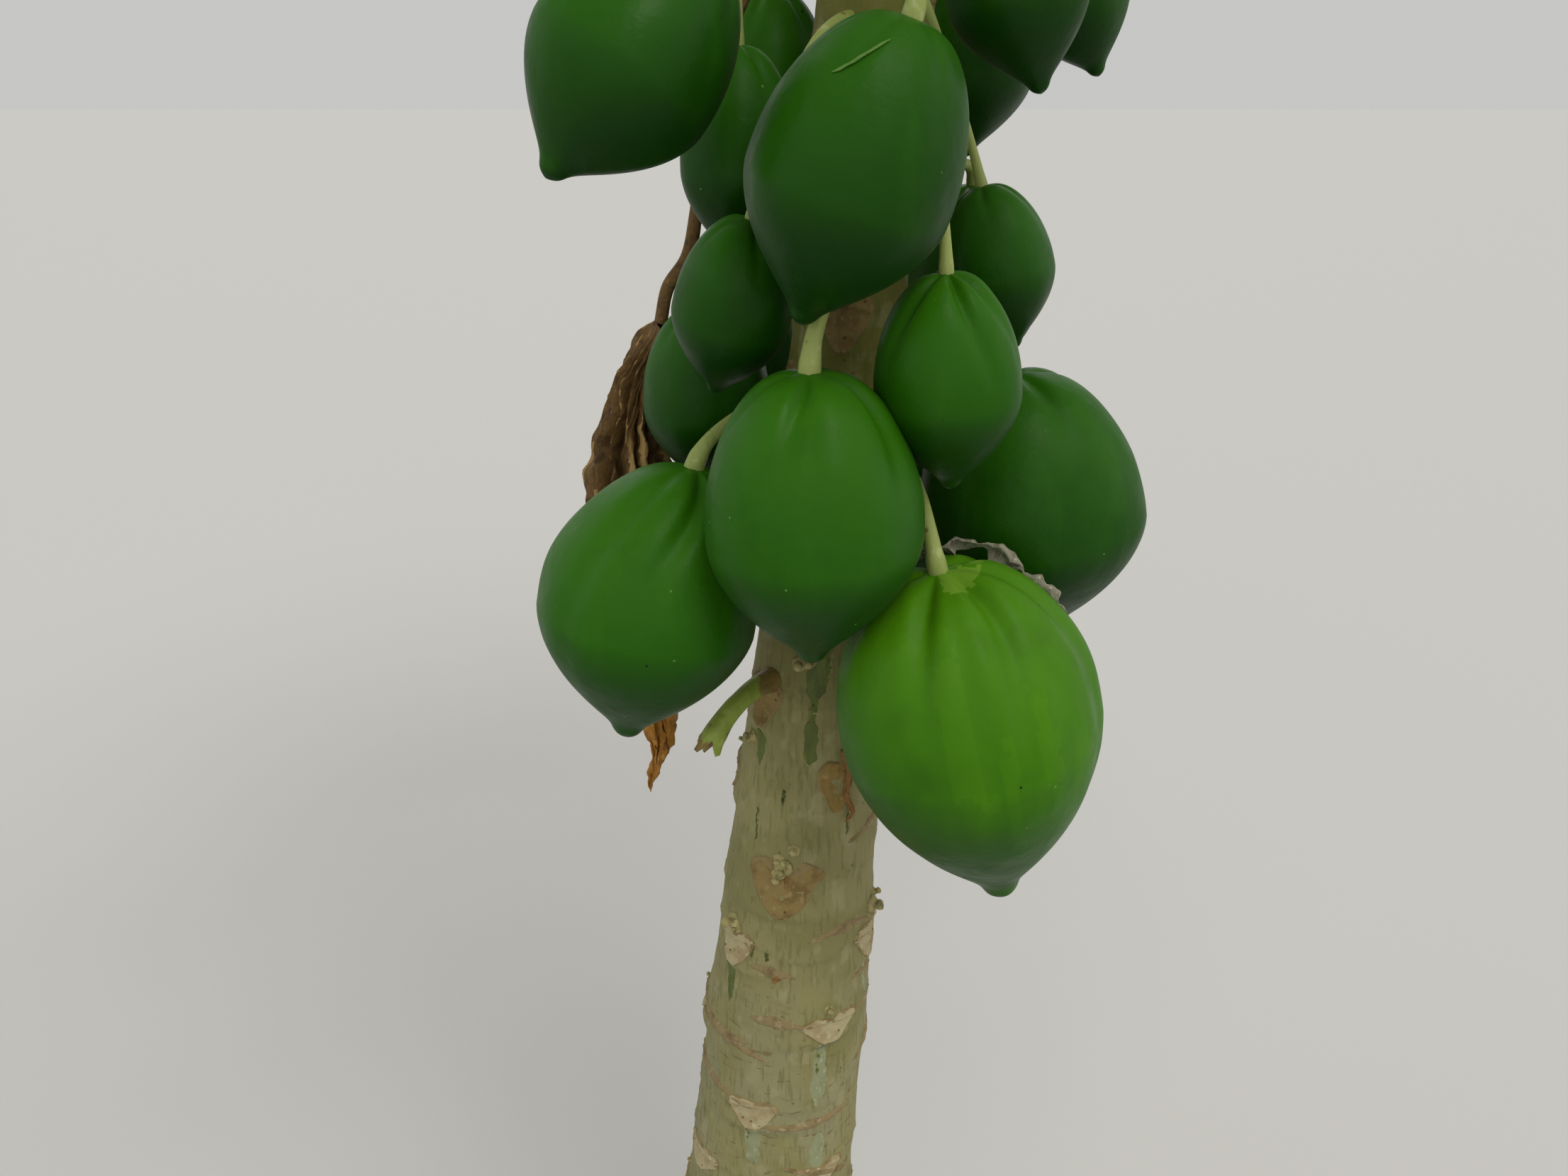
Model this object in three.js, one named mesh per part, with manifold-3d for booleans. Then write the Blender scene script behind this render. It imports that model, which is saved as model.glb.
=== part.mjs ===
// A fruiting papaya tree: one unbranched trunk, a spiral of fruits on short stalks round it, the broken
// stalk of a picked fruit, one withered leaf that hangs down, and a crown of lobed leaves on long stalks.
// Millimetres, +Z up. The origin is the centre of the flat cut under the trunk, at ground level; -Y is
// the front.

import * as THREE from "three";
import { mergeVertices } from "three/addons/utils/BufferGeometryUtils.js";
import Module from "manifold-3d";

const wasm = await Module();
wasm.setup();

// Clearance between a piece and the trunk that it grows from, how deep a fused stem is sunk, and how near two
// vertices lie that count as one.
const GAP = 0.3;
const SUNK = 6;
const MERGE = 1e-3;

// Trunk: its height, its facets, the lean of its foot, how the lean eases with height, and its radius at
// each height.
const TRUNK = { height: 1790, sides: 20, rings: 28, crowding: 1.15, lean: 0.092, easing: 1.4e-5 };
const TRUNK_RADII = [
  [0, 98],
  [45, 88],
  [130, 81],
  [380, 71],
  [580, 65],
  [735, 56],
  [950, 43],
  [1120, 36],
  [1300, 34],
  [1600, 29],
  [1720, 23],
  [1770, 15],
  [1790, 5],
];
const BUTTRESS = { count: 5, swell: 0.07, fade: 70 };

// Leaf scars, fruits and leaves all grow at nodes on one spiral, which crowd together upwards. Node 0 is
// the large scar on the front of the trunk.
const SPIRAL = { firstHeight: 737, firstBearing: 258, turn: 135, step: 30, crowding: 0.2 };

// A fruit's outline, as shares of its length or of its radius: where its belly lies, how its shoulder and
// its lower end curve, its nipple, the dip round its stalk, and its five ribs.
const FRUIT = {
  belly: 0.53,
  shoulderPower: 2,
  shoulderRound: 0.56,
  taperPower: 2,
  bodyEnd: 0.97,
  nippleFrom: 0.955,
  nippleRadius: 0.1,
  nippleBlend: 0.16,
  dip: 0.03,
  dipWidth: 0.3,
  ribs: 5,
  ribHigh: 0.075,
  ribLow: 0.014,
  ribFade: 0.16,
};
const FRUIT_STATIONS = [0, 0.05, 0.16, 0.34, 0.54, 0.73, 0.87, 0.96, 1];
const SMALL_FRUIT = 118;

// A fruit's stalk: how far above its node it grows, its radius at both ends and in the middle, the fruit's
// width from which it is full thickness, and the shares of its span that it runs straight out and down.
const FRUIT_STALK = {
  above: 18,
  end: 7.5,
  middle: 5.4,
  fullWidth: 120,
  thinnest: 0.6,
  straightOut: 0.4,
  straightDown: 0.35,
  sides: 6,
  steps: 4,
};

// Each fruit: the node that it grows from, the height of its middle, its middle's distance from the trunk's
// centre line, its swing round the trunk from the node, its length and width, how far its tip leans outwards
// and sideways, where its belly lies if it differs, and its stalk's own swing. Angles are in degrees. What
// isn't given is nought.
const FRUITS = [
  { node: 11, height: 902, reach: 149, swing: 3, length: 238, width: 156, out: 9, side: 10, belly: 0.44 },
  { node: 12, height: 960, reach: 128, swing: -20, length: 172, width: 118, out: 4 },
  { node: 13, height: 974, reach: 137, swing: 2, length: 184, width: 134, out: 14 },
  { node: 14, height: 1007, reach: 130, swing: 12, length: 190, width: 144, out: 12 },
  { node: 16, height: 1046, reach: 130, swing: 3, length: 176, width: 120, side: 1, rootSwing: 14 },
  { node: 15, height: 1064, reach: 118, swing: 2, length: 160, width: 104, out: 2 },
  { node: 18, height: 1078, reach: 86, swing: 8, length: 126, width: 82 },
  { node: 17, height: 1136, reach: 110, swing: 7, length: 140, width: 94, out: 2 },
  { node: 19, height: 1118, reach: 119, swing: -7, length: 124, width: 74, side: 5 },
  { node: 21, height: 1153, reach: 108, swing: 17, length: 106, width: 66, side: -17, rootSwing: 30 },
  { node: 20, height: 1196, reach: 88, swing: 8, length: 124, width: 82, out: 2 },
  { node: 22, height: 1166, reach: 88, swing: -8, length: 98, width: 63, out: 16 },
  { node: 24, height: 1226, reach: 137, swing: 7, length: 154, width: 103, out: -2, side: -20 },
  { node: 23, height: 1262, reach: 86, swing: 8, length: 112, width: 74, out: 2 },
  { node: 26, height: 1226, reach: 77, swing: 35, length: 122, width: 67 },
  { node: 25, height: 1275, reach: 86, swing: 8, length: 112, width: 78 },
  { node: 29, height: 1277, reach: 184, swing: 16, length: 132, width: 91, out: 38, side: -18 },
  { node: 27, height: 1313, reach: 113, swing: 0, length: 110, width: 70, out: 8, side: 16 },
  { node: 30, height: 1313, reach: 106, swing: 6, length: 100, width: 62, out: 24 },
  { node: 28, height: 1352, reach: 76, swing: 0, length: 98, width: 66, out: 2 },
];

// Above these the fruits are younger and more even. Their nodes, their sizes from the first to the last, how
// far below the node they hang, how far clear of the trunk, and their swing beside the leaf of that node.
const YOUNG = { nodes: [31, 33, 34, 35], length: [92, 60], width: [60, 37], hang: 20, clear: 16, swing: 32 };

// The broken stalk of a picked fruit: its node, how far above and beside it grows, how far out and down it
// reaches, and its radius.
const BROKEN = { node: 5, above: 10, swing: 10, out: 64, down: 36, radius: 6.3, sides: 8, steps: 4 };

// The withered leaf: its node, where its stalk hangs down, the line of its crumpled blade, the blade's half
// widths down that line, and how flat and how deeply folded it is.
const WITHERED = {
  node: 26,
  stalkRadius: 5,
  stalkSides: 6,
  stalkSteps: 7,
  stalk: [
    [22, 14, 1306],
    [-12, 19, 1242],
    [-28, 22, 1150],
  ],
  blade: [
    [-33, 25, 1122],
    [-56, 48, 1055],
    [-65, 50, 970],
    [-60, 36, 875],
    [-50, 12, 785],
  ],
  radii: [6, 14, 22, 28, 31, 31, 28, 22, 12, 3],
  flat: 0.5,
  fold: 0.3,
  folds: 5,
};

// Living leaves: their nodes, and their sizes and angles, each from the oldest leaf, at the bottom, to the
// youngest. An ease over 1 makes a value change late. The radius is from the stalk's root to its end. Droop,
// lift and sway are how far a blade's tips sag, how far its edges rise, and how far a leaf strays from the
// rule.
const LEAF = {
  first: 31,
  last: 53,
  stalkLength: [690, 240],
  stalkEase: 1.4,
  rise: [13, 75],
  pitch: [-34, 62],
  pitchEase: 1.4,
  spread: [1, 0.42],
  spreadEase: 2,
  size: [340, 100],
  sizeEase: 1.5,
  arch: 12,
  stalkRadius: [10, 5],
  youngestRadius: 0.5,
  stalkSides: 5,
  stalkSteps: 4,
  thickness: 6,
  droop: 0.2,
  lift: 0.035,
  sway: 2.2,
};

// A blade's lobes from the middle one outwards: each one's angle from the leaf's line, its length as a share
// of the blade's, and whether its sides are cut into side lobes. Then the outline's points along and beside
// a lobe's rib.
const LOBES = [
  { angle: 0, share: 1, cut: true },
  { angle: 40, share: 0.95, cut: true },
  { angle: 79, share: 0.82, cut: true },
  { angle: 117, share: 0.64, cut: true },
  { angle: 152, share: 0.42, cut: false },
];
const LOBE = { middle: 0.5, tooth: [0.67, 0.2], notch: [0.6, 0.085], sinus: 0.4, base: 0.1, baseAngle: 176 };

// The growing tip: furled leaves that stand on the trunk's top, each shorter than the last.
const TIP = {
  count: 2,
  length: 110,
  shorter: 0.25,
  spread: 8,
  foot: 3.5,
  swell: 8,
  point: 0.5,
  sides: 5,
  steps: 3,
};

const BARK = new THREE.MeshStandardMaterial({ color: 0xb3a883, roughness: 0.85, metalness: 0 });
const SKIN = new THREE.MeshStandardMaterial({ color: 0x3c7022, roughness: 0.5, metalness: 0 });
const STALK = new THREE.MeshStandardMaterial({ color: 0xa8ab5c, roughness: 0.6, metalness: 0 });
const GREEN = new THREE.MeshStandardMaterial({ color: 0x6f9a35, roughness: 0.6, metalness: 0 });
const DRY = new THREE.MeshStandardMaterial({ color: 0x8a5a2a, roughness: 0.9, metalness: 0 });

const { degToRad, radToDeg, lerp, mapLinear } = THREE.MathUtils;
const mix = ([from, to], share) => lerp(from, to, share);
const vector = ([x, y, z]) => new THREE.Vector3(x, y, z);

// The trunk's centre line and radius, as functions of height.
function trunkCentre(height) {
  return new THREE.Vector3(height * (TRUNK.lean - TRUNK.easing * height), 0, height);
}

function trunkRadius(height) {
  const upper = Math.max(1, TRUNK_RADII.findIndex(([h]) => h >= height));
  const [lowHeight, lowRadius] = TRUNK_RADII[upper - 1];
  const [highHeight, highRadius] = TRUNK_RADII[upper];
  return mapLinear(height, lowHeight, highHeight, lowRadius, highRadius);
}

function nodeHeight(node) {
  return SPIRAL.firstHeight + SPIRAL.step * node - SPIRAL.crowding * node * node;
}

function nodeBearing(node) {
  return degToRad(SPIRAL.firstBearing + SPIRAL.turn * node);
}

function outward(bearing) {
  return new THREE.Vector3(Math.cos(bearing), Math.sin(bearing), 0);
}

// A point sunk just under the bark at a node, or a little above it and beside it.
function rootAt(node, above = 0, swing = 0) {
  const height = nodeHeight(node) + above;
  const away = outward(nodeBearing(node) + degToRad(swing));
  return trunkCentre(height).addScaledVector(away, trunkRadius(height) - SUNK);
}

// Moves each vertex of a three.js geometry by a rule, and closes its seams.
function reshape(geometry, rule) {
  const bare = new THREE.BufferGeometry();
  bare.setAttribute("position", geometry.getAttribute("position").clone());
  bare.setIndex(geometry.index);
  const position = bare.getAttribute("position");
  const point = new THREE.Vector3();
  for (let i = 0; i < position.count; i++) {
    rule(point.fromBufferAttribute(position, i));
    position.setXYZ(i, point.x, point.y, point.z);
  }
  return mergeVertices(bare, MERGE);
}

function toSolid(geometry) {
  const mesh = new wasm.Mesh({
    numProp: 3,
    vertProperties: new Float32Array(geometry.getAttribute("position").array),
    triVerts: new Uint32Array(geometry.index.array),
  });
  return new wasm.Manifold(mesh);
}

function toGeometry(solid) {
  const mesh = solid.getMesh();
  const geometry = new THREE.BufferGeometry();
  geometry.setAttribute("position", new THREE.BufferAttribute(new Float32Array(mesh.vertProperties), 3));
  geometry.setIndex(new THREE.BufferAttribute(new Uint32Array(mesh.triVerts), 1));
  geometry.computeVertexNormals();
  return geometry;
}

// The trunk, grown by a margin: 0 for the piece itself, GAP for cutting what grows on it.
function trunkGeometry(margin) {
  const { sides, rings } = TRUNK;
  const blank = new THREE.CylinderGeometry(1, 1, 1, sides, rings);
  return reshape(blank, (p) => {
    const share = Math.round((p.y + 0.5) * rings) / rings;
    const height = TRUNK.height * share ** TRUNK.crowding;
    const bearing = Math.atan2(-p.z, p.x);
    const swell = BUTTRESS.swell * Math.cos(BUTTRESS.count * bearing) * Math.exp(-height / BUTTRESS.fade);
    const radius = Math.hypot(p.x, p.z) * (trunkRadius(height) * (1 + swell) + margin);
    p.copy(trunkCentre(height)).addScaledVector(outward(bearing), radius);
    if (share === 1) p.z += margin;
  });
}

const grownTrunk = toSolid(trunkGeometry(GAP));

// A closed limb along a curve. The radius is a function of the share of its length and of the angle round it.
function limb(curve, { sides, steps, radiusAt, flat = 1 }) {
  const frames = curve.computeFrenetFrames(steps);
  const blank = new THREE.CylinderGeometry(1, 1, 1, sides, steps);
  return reshape(blank, (p) => {
    const ring = Math.round((0.5 - p.y) * steps);
    const radius = radiusAt(ring / steps, Math.atan2(p.z, p.x));
    const { x, z } = p;
    p.copy(curve.getPointAt(ring / steps));
    p.addScaledVector(frames.normals[ring], x * radius);
    p.addScaledVector(frames.binormals[ring], z * radius * flat);
  });
}

function growingOnTrunk(geometry) {
  return toSolid(geometry).subtract(grownTrunk);
}

// A fruit's radius as a share of its half width, at a share of its length from the stalk.
function fruitProfile(share, belly) {
  const { shoulderPower, shoulderRound, taperPower, bodyEnd, nippleFrom, nippleRadius, nippleBlend } = FRUIT;
  if (share <= belly) return (1 - (1 - share / belly) ** shoulderPower) ** shoulderRound;
  const body = 1 - ((share - belly) / (bodyEnd - belly)) ** taperPower;
  const end = Math.max(0, (share - nippleFrom) / (1 - nippleFrom));
  const nipple = nippleRadius * Math.sqrt(1 - end ** 2);
  return Math.min(1, (body + nipple + Math.hypot(body - nipple, nippleBlend)) / 2);
}

// A fruit in its own frame: the stalk's end at the origin and the tip down the Z axis.
function fruitGeometry(length, width, belly) {
  const { ribs, ribLow, ribHigh, ribFade, dip, dipWidth } = FRUIT;
  const bands = FRUIT_STATIONS.length - 1;
  const sides = ribs * (width > SMALL_FRUIT ? 3 : 2);
  const blank = new THREE.SphereGeometry(1, sides, bands);
  return reshape(blank, (p) => {
    const ring = Math.round((Math.acos(THREE.MathUtils.clamp(p.y, -1, 1)) / Math.PI) * bands);
    const share = FRUIT_STATIONS[ring];
    const angle = Math.atan2(-p.z, p.x);
    const profile = ring === 0 || ring === bands ? 0 : fruitProfile(share, belly);
    const rib = 1 + (ribLow + ribHigh * Math.exp(-share / ribFade)) * Math.cos(ribs * angle);
    const radius = (width / 2) * profile * rib;
    const sunk = ring < bands / 2 ? dip * Math.exp(-((profile / dipWidth) ** 2)) : 0;
    p.set(radius * Math.cos(angle), radius * Math.sin(angle), -length * (share + sunk));
  });
}

// A fruit with its stalk, hung from its node.
function fruitSolid({ belly = FRUIT.belly, out = 0, side = 0, rootSwing = 0, ...fruit }) {
  const { node, height, reach, swing, length, width } = fruit;
  const bearing = nodeBearing(node) + degToRad(swing);
  const away = outward(bearing);
  const tip = new THREE.Vector3(0, 0, -1).addScaledVector(away, Math.tan(degToRad(out)));
  tip.addScaledVector(outward(bearing + Math.PI / 2), Math.tan(degToRad(side))).normalize();
  const stalkEnd = trunkCentre(height).addScaledVector(away, reach).addScaledVector(tip, -length / 2);

  const turn = new THREE.Quaternion().setFromUnitVectors(new THREE.Vector3(0, 0, -1), tip);
  const body = fruitGeometry(length, width, belly).applyQuaternion(turn);
  body.translate(stalkEnd.x, stalkEnd.y, stalkEnd.z);

  const { above, straightOut, straightDown, fullWidth, thinnest, middle, end, sides, steps } = FRUIT_STALK;
  const root = rootAt(node, above, rootSwing);
  const span = root.distanceTo(stalkEnd);
  const leaving = outward(nodeBearing(node) + degToRad(rootSwing));
  const curve = new THREE.CubicBezierCurve3(
    root,
    root.clone().addScaledVector(leaving, straightOut * span + SUNK),
    stalkEnd.clone().addScaledVector(tip, -straightDown * span),
    stalkEnd.clone().addScaledVector(tip, FRUIT.dip * length + SUNK),
  );
  const thickness = Math.max(thinnest, Math.min(1, width / fullWidth));
  const radiusAt = (share) => thickness * lerp(middle, end, (2 * share - 1) ** 2);
  return toSolid(body).add(growingOnTrunk(limb(curve, { sides, steps, radiusAt })));
}

// The small fruits under the lowest leaves, each beside the leaf that shares its node.
function youngFruit(node) {
  const share = mapLinear(node, YOUNG.nodes.at(0), YOUNG.nodes.at(-1), 0, 1);
  const length = mix(YOUNG.length, share);
  const width = mix(YOUNG.width, share);
  const height = nodeHeight(node) - YOUNG.hang - length / 2;
  const reach = trunkRadius(height) + YOUNG.clear + width / 2;
  return { node, height, reach, swing: YOUNG.swing, rootSwing: YOUNG.swing, length, width };
}

function brokenStalk() {
  const { node, above, swing, out, down, radius, sides, steps } = BROKEN;
  const root = rootAt(node, above, swing);
  const away = outward(nodeBearing(node) + degToRad(swing));
  const bend = root.clone().addScaledVector(away, out / 2);
  const end = root.clone().addScaledVector(away, out).addScaledVector(new THREE.Vector3(0, 0, -1), down);
  const curve = new THREE.QuadraticBezierCurve3(root, bend, end);
  return growingOnTrunk(limb(curve, { sides, steps, radiusAt: () => radius }));
}

// The withered leaf: a limp stalk, and a crumpled blade as one folded, tapering bundle.
function witheredLeaf() {
  const { node, stalkRadius, stalkSides, stalkSteps, stalk, blade, radii, flat, fold, folds } = WITHERED;
  const stalkLine = new THREE.CatmullRomCurve3([rootAt(node), ...stalk.map(vector), vector(blade[0])]);
  const limp = limb(stalkLine, { sides: stalkSides, steps: stalkSteps, radiusAt: () => stalkRadius });
  const last = radii.length - 1;
  const radiusAt = (share, angle) => radii[Math.round(share * last)] * (1 + fold * Math.cos(folds * angle));
  const bladeLine = new THREE.CatmullRomCurve3(blade.map(vector));
  const bundle = limb(bladeLine, { sides: 2 * folds, steps: last, radiusAt, flat });
  return growingOnTrunk(limp).add(toSolid(bundle));
}

// A blade in its own frame: the stalk joins it at the origin, its middle lobe runs along +X, and its upper
// face looks along +Z. Lobes sag towards their tips and rise beside their ribs.
function bladeGeometry(size, spread) {
  const points = [];
  const faces = [];
  const edge = [];
  const add = (x, y, lift) => points.push([x, y, size * lift - (LEAF.droop * (x * x + y * y)) / size]) - 1;
  const polar = (angle, radius, lift) => {
    return add(size * radius * Math.cos(degToRad(angle)), size * radius * Math.sin(degToRad(angle)), lift);
  };
  const half = LOBES.map((lobe) => ({ ...lobe, angle: spread * lobe.angle }));
  const fan = [...half.slice(1).reverse().map((lobe) => ({ ...lobe, angle: -lobe.angle })), ...half];
  const onLobe = ({ angle, share }, along, beside, lift) => {
    const turned = angle + radToDeg(Math.atan2(beside, along));
    return polar(turned, share * Math.hypot(along, beside), lift);
  };

  const centre = polar(0, 0, 0);
  const start = polar(-LOBE.baseAngle, LOBE.base, 0);
  let before = start;
  fan.forEach((lobe, i) => {
    const next = fan[i + 1];
    const [toothAlong, toothBeside] = [LOBE.tooth[0], spread * LOBE.tooth[1]];
    const [notchAlong, notchBeside] = [LOBE.notch[0], spread * LOBE.notch[1]];
    edge.push(before);
    const right = lobe.cut
      ? [onLobe(lobe, toothAlong, -toothBeside, LEAF.lift), onLobe(lobe, notchAlong, -notchBeside, 0)]
      : [];
    const tip = onLobe(lobe, 1, 0, 0);
    const left = lobe.cut
      ? [onLobe(lobe, notchAlong, notchBeside, 0), onLobe(lobe, toothAlong, toothBeside, LEAF.lift)]
      : [];
    edge.push(...right, tip, ...left);
    const after = next
      ? polar((lobe.angle + next.angle) / 2, LOBE.sinus * Math.min(lobe.share, next.share), LEAF.lift)
      : polar(LOBE.baseAngle, LOBE.base, 0);
    const outline = [before, ...right, tip, ...left, after];
    const hub = lobe.cut ? onLobe(lobe, LOBE.middle, 0, 0) : centre;
    for (let j = 1; j < outline.length; j++) faces.push([hub, outline[j - 1], outline[j]]);
    if (lobe.cut) faces.push([centre, before, hub], [centre, hub, after]);
    before = after;
  });
  edge.push(before);
  faces.push([centre, before, start]);

  // The same faces serve above and below, half the thickness apart, with a wall round the edge.
  const count = points.length;
  const face = (offset) => points.flatMap(([x, y, z]) => [x, y, z + offset]);
  const vertices = [...face(LEAF.thickness / 2), ...face(-LEAF.thickness / 2)];
  const indices = faces.flatMap(([a, b, c]) => [a, b, c, a + count, c + count, b + count]);
  edge.forEach((a, i) => {
    const b = edge[(i + 1) % edge.length];
    indices.push(a, b + count, b, a, a + count, b + count);
  });
  const geometry = new THREE.BufferGeometry();
  geometry.setAttribute("position", new THREE.BufferAttribute(new Float32Array(vertices), 3));
  geometry.setIndex(indices);
  return geometry;
}

// A living leaf: a stalk that rises from the trunk, and a blade that hangs outwards from its end.
function leafSolid(node) {
  const youth = mapLinear(node, LEAF.first, LEAF.last, 0, 1);
  const sway = LEAF.sway * Math.sin(node * node);
  const bearing = nodeBearing(node) + degToRad(sway);
  const rise = degToRad(mix(LEAF.rise, youth) + sway);
  const pitch = degToRad(mix(LEAF.pitch, youth ** LEAF.pitchEase) - 2 * sway);
  const length = mix(LEAF.stalkLength, youth ** LEAF.stalkEase);
  const size = mix(LEAF.size, youth ** LEAF.sizeEase);
  const spread = mix(LEAF.spread, youth ** LEAF.spreadEase);
  const radius = lerp(1, LEAF.youngestRadius, youth);

  const away = outward(bearing);
  const up = new THREE.Vector3(0, 0, 1);
  const towards = (angle) => {
    return away.clone().multiplyScalar(Math.cos(angle)).addScaledVector(up, Math.sin(angle));
  };
  const root = rootAt(node);
  const bend = root.clone().addScaledVector(towards(rise + degToRad(LEAF.arch)), length / 2);
  const end = root.clone().addScaledVector(towards(rise), length);
  const curve = new THREE.QuadraticBezierCurve3(root, bend, end);
  const { stalkSides: sides, stalkSteps: steps } = LEAF;
  const stalk = limb(curve, { sides, steps, radiusAt: (share) => radius * mix(LEAF.stalkRadius, share) });

  const forward = towards(pitch);
  const across = outward(bearing + Math.PI / 2);
  const normal = forward.clone().cross(across);
  const place = new THREE.Matrix4().makeBasis(forward, across, normal).setPosition(end);
  return growingOnTrunk(stalk).add(toSolid(bladeGeometry(size, spread).applyMatrix4(place)));
}

function growingTip() {
  const { count, length, shorter, spread, foot, swell, point, sides, steps } = TIP;
  const root = trunkCentre(TRUNK.height - SUNK);
  const up = new THREE.Vector3(0, 0, 1);
  const radiusAt = (share) => foot * (1 - share) + swell * Math.sin(Math.PI * share) * share + point;
  const furled = Array.from({ length: count }, (_, i) => {
    const tall = length * (1 - shorter * i);
    const bend = root.clone().addScaledVector(up, tall / 2);
    const away = outward((2 * Math.PI * i) / count);
    const end = root.clone().addScaledVector(up, tall).addScaledVector(away, spread);
    const curve = new THREE.QuadraticBezierCurve3(root, bend, end);
    return growingOnTrunk(limb(curve, { sides, steps, radiusAt }));
  });
  return furled.reduce((whole, one) => whole.add(one));
}

function piece(name, geometry, material) {
  const mesh = new THREE.Mesh(geometry, material);
  mesh.name = name;
  return mesh;
}

const tree = new THREE.Group();
const twoDigits = (number) => String(number).padStart(2, "0");

tree.add(piece("trunk", trunkGeometry(0), BARK));
tree.add(piece("broken_stalk", toGeometry(brokenStalk()), STALK));
tree.add(piece("withered_leaf", toGeometry(witheredLeaf()), DRY));
tree.add(piece("growing_tip", toGeometry(growingTip()), GREEN));

[...FRUITS, ...YOUNG.nodes.map(youngFruit)].forEach((fruit, i) => {
  tree.add(piece(`fruit_${twoDigits(i + 1)}`, toGeometry(fruitSolid(fruit)), SKIN));
});

for (let node = LEAF.first; node <= LEAF.last; node++) {
  const name = `leaf_${twoDigits(node - LEAF.first + 1)}`;
  tree.add(piece(name, toGeometry(leafSolid(node)), GREEN));
}

export default tree;
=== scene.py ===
"""A fruiting papaya tree: a scarred, leaning trunk, a spiral of hanging fruits and a top of lobed leaves.

Metres, +Z up. The origin is the centre of the flat cut under the trunk, and -Y is the front. Every shape
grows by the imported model's own rules, which are written again here and carried to a finer surface.
"""

import math

import bpy
import numpy as np
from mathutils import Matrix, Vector


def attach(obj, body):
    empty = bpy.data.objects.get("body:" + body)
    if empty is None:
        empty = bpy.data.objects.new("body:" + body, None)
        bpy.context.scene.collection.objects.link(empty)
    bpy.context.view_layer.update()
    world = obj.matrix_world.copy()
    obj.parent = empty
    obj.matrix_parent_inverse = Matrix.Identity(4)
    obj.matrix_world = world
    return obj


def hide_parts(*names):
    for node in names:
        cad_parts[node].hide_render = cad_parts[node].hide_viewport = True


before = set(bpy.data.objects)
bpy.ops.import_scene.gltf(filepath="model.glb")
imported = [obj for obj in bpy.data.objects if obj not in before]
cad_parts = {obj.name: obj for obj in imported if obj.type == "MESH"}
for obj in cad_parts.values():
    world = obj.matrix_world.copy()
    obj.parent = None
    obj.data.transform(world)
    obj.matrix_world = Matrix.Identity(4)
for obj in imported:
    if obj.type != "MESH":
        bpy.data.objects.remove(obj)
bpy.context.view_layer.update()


# The camera, as the photograph was taken.

PHOTO_WIDTH = 2212
FOCAL_PIXELS = 1661
SENSOR_MM = 36
CAMERA_PLACE = (0.046, -0.732, 1.280)
CAMERA_DOWN = 24.5

# The trunk: its height, its lean, how the lean eases with height, and its radius at each height.

TRUNK_HEIGHT = 1.790
TRUNK_LEAN = 0.092
TRUNK_EASING = 0.014
TRUNK_RADII = [
    (0, 0.098), (0.045, 0.088), (0.130, 0.081), (0.380, 0.071), (0.580, 0.065), (0.735, 0.056),
    (0.950, 0.043), (1.120, 0.036), (1.300, 0.034), (1.600, 0.029), (1.720, 0.023), (1.770, 0.015),
    (1.790, 0.005),
]
BUTTRESS_COUNT = 5
BUTTRESS_SWELL = 0.07
BUTTRESS_FADE = 0.070
SUNK = 0.006

# The spiral of nodes. Below node 0, the large scar on the front, the nodes are evenly spaced.

FIRST_HEIGHT = 0.737
FIRST_BEARING = 258
NODE_TURN = 135
NODE_STEP = 0.030
NODE_CROWDING = 0.0002
OLD_STEP = 0.0265
OLDEST_SCAR = -25

# Each fruit: its node, the height of its middle, its middle's distance from the trunk's centre line, its
# swing round the trunk, its length and width, how far its tip leans out and sideways, the bearing of one of
# its ridges, and the number of its skin colour. Angles are in degrees.

FRUITS = [
    (11, 0.902, 0.149, 3, 0.238, 0.156, 9, 10, 285, 2),
    (12, 0.960, 0.128, -20, 0.172, 0.118, 4, 0, 20, 1),
    (13, 0.974, 0.137, 2, 0.184, 0.134, 14, 0, 236, 0),
    (14, 1.007, 0.130, 12, 0.190, 0.144, 12, 0, 330, 1),
    (16, 1.046, 0.130, 3, 0.176, 0.120, 0, 1, 296, 0),
    (15, 1.064, 0.118, 2, 0.160, 0.104, 2, 0, 110, 1),
    (18, 1.078, 0.086, 8, 0.126, 0.082, 0, 0, 250, 1),
    (17, 1.136, 0.110, 7, 0.140, 0.094, 2, 0, 40, 0),
    (19, 1.118, 0.119, -8.5, 0.124, 0.079, 0, 5, 246, 0),
    (21, 1.153, 0.108, 17, 0.106, 0.066, 0, -17, 240, 1),
    (20, 1.196, 0.088, 8, 0.124, 0.082, 2, 0, 90, 1),
    (22, 1.166, 0.088, -8, 0.098, 0.063, 16, 0, 300, 1),
    (24, 1.226, 0.137, 7, 0.154, 0.103, -2, -20, 230, 1),
    (23, 1.262, 0.086, 8, 0.112, 0.074, 2, 0, 60, 0),
    (26, 1.226, 0.077, 35, 0.122, 0.067, 0, 0, 200, 1),
    (25, 1.275, 0.086, 8, 0.112, 0.078, 0, 0, 10, 1),
    (29, 1.277, 0.184, 16, 0.132, 0.091, 38, -18, 220, 1),
    (27, 1.313, 0.113, 0, 0.110, 0.070, 8, 16, 320, 1),
    (30, 1.313, 0.106, 6, 0.100, 0.062, 24, 0, 350, 1),
    (28, 1.352, 0.076, 0, 0.098, 0.066, 2, 0, 130, 1),
]

# By node: fruits whose widest place is higher up, and fruits whose stalk leaves the trunk beside the node's
# line, in degrees, or below the usual height, in metres.

HIGH_BELLIES = {11: 0.44}
STALK_SWINGS = {16: 14, 21: 30, 22: -48}
STALK_DROPS = {13: 0.024}

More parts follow.
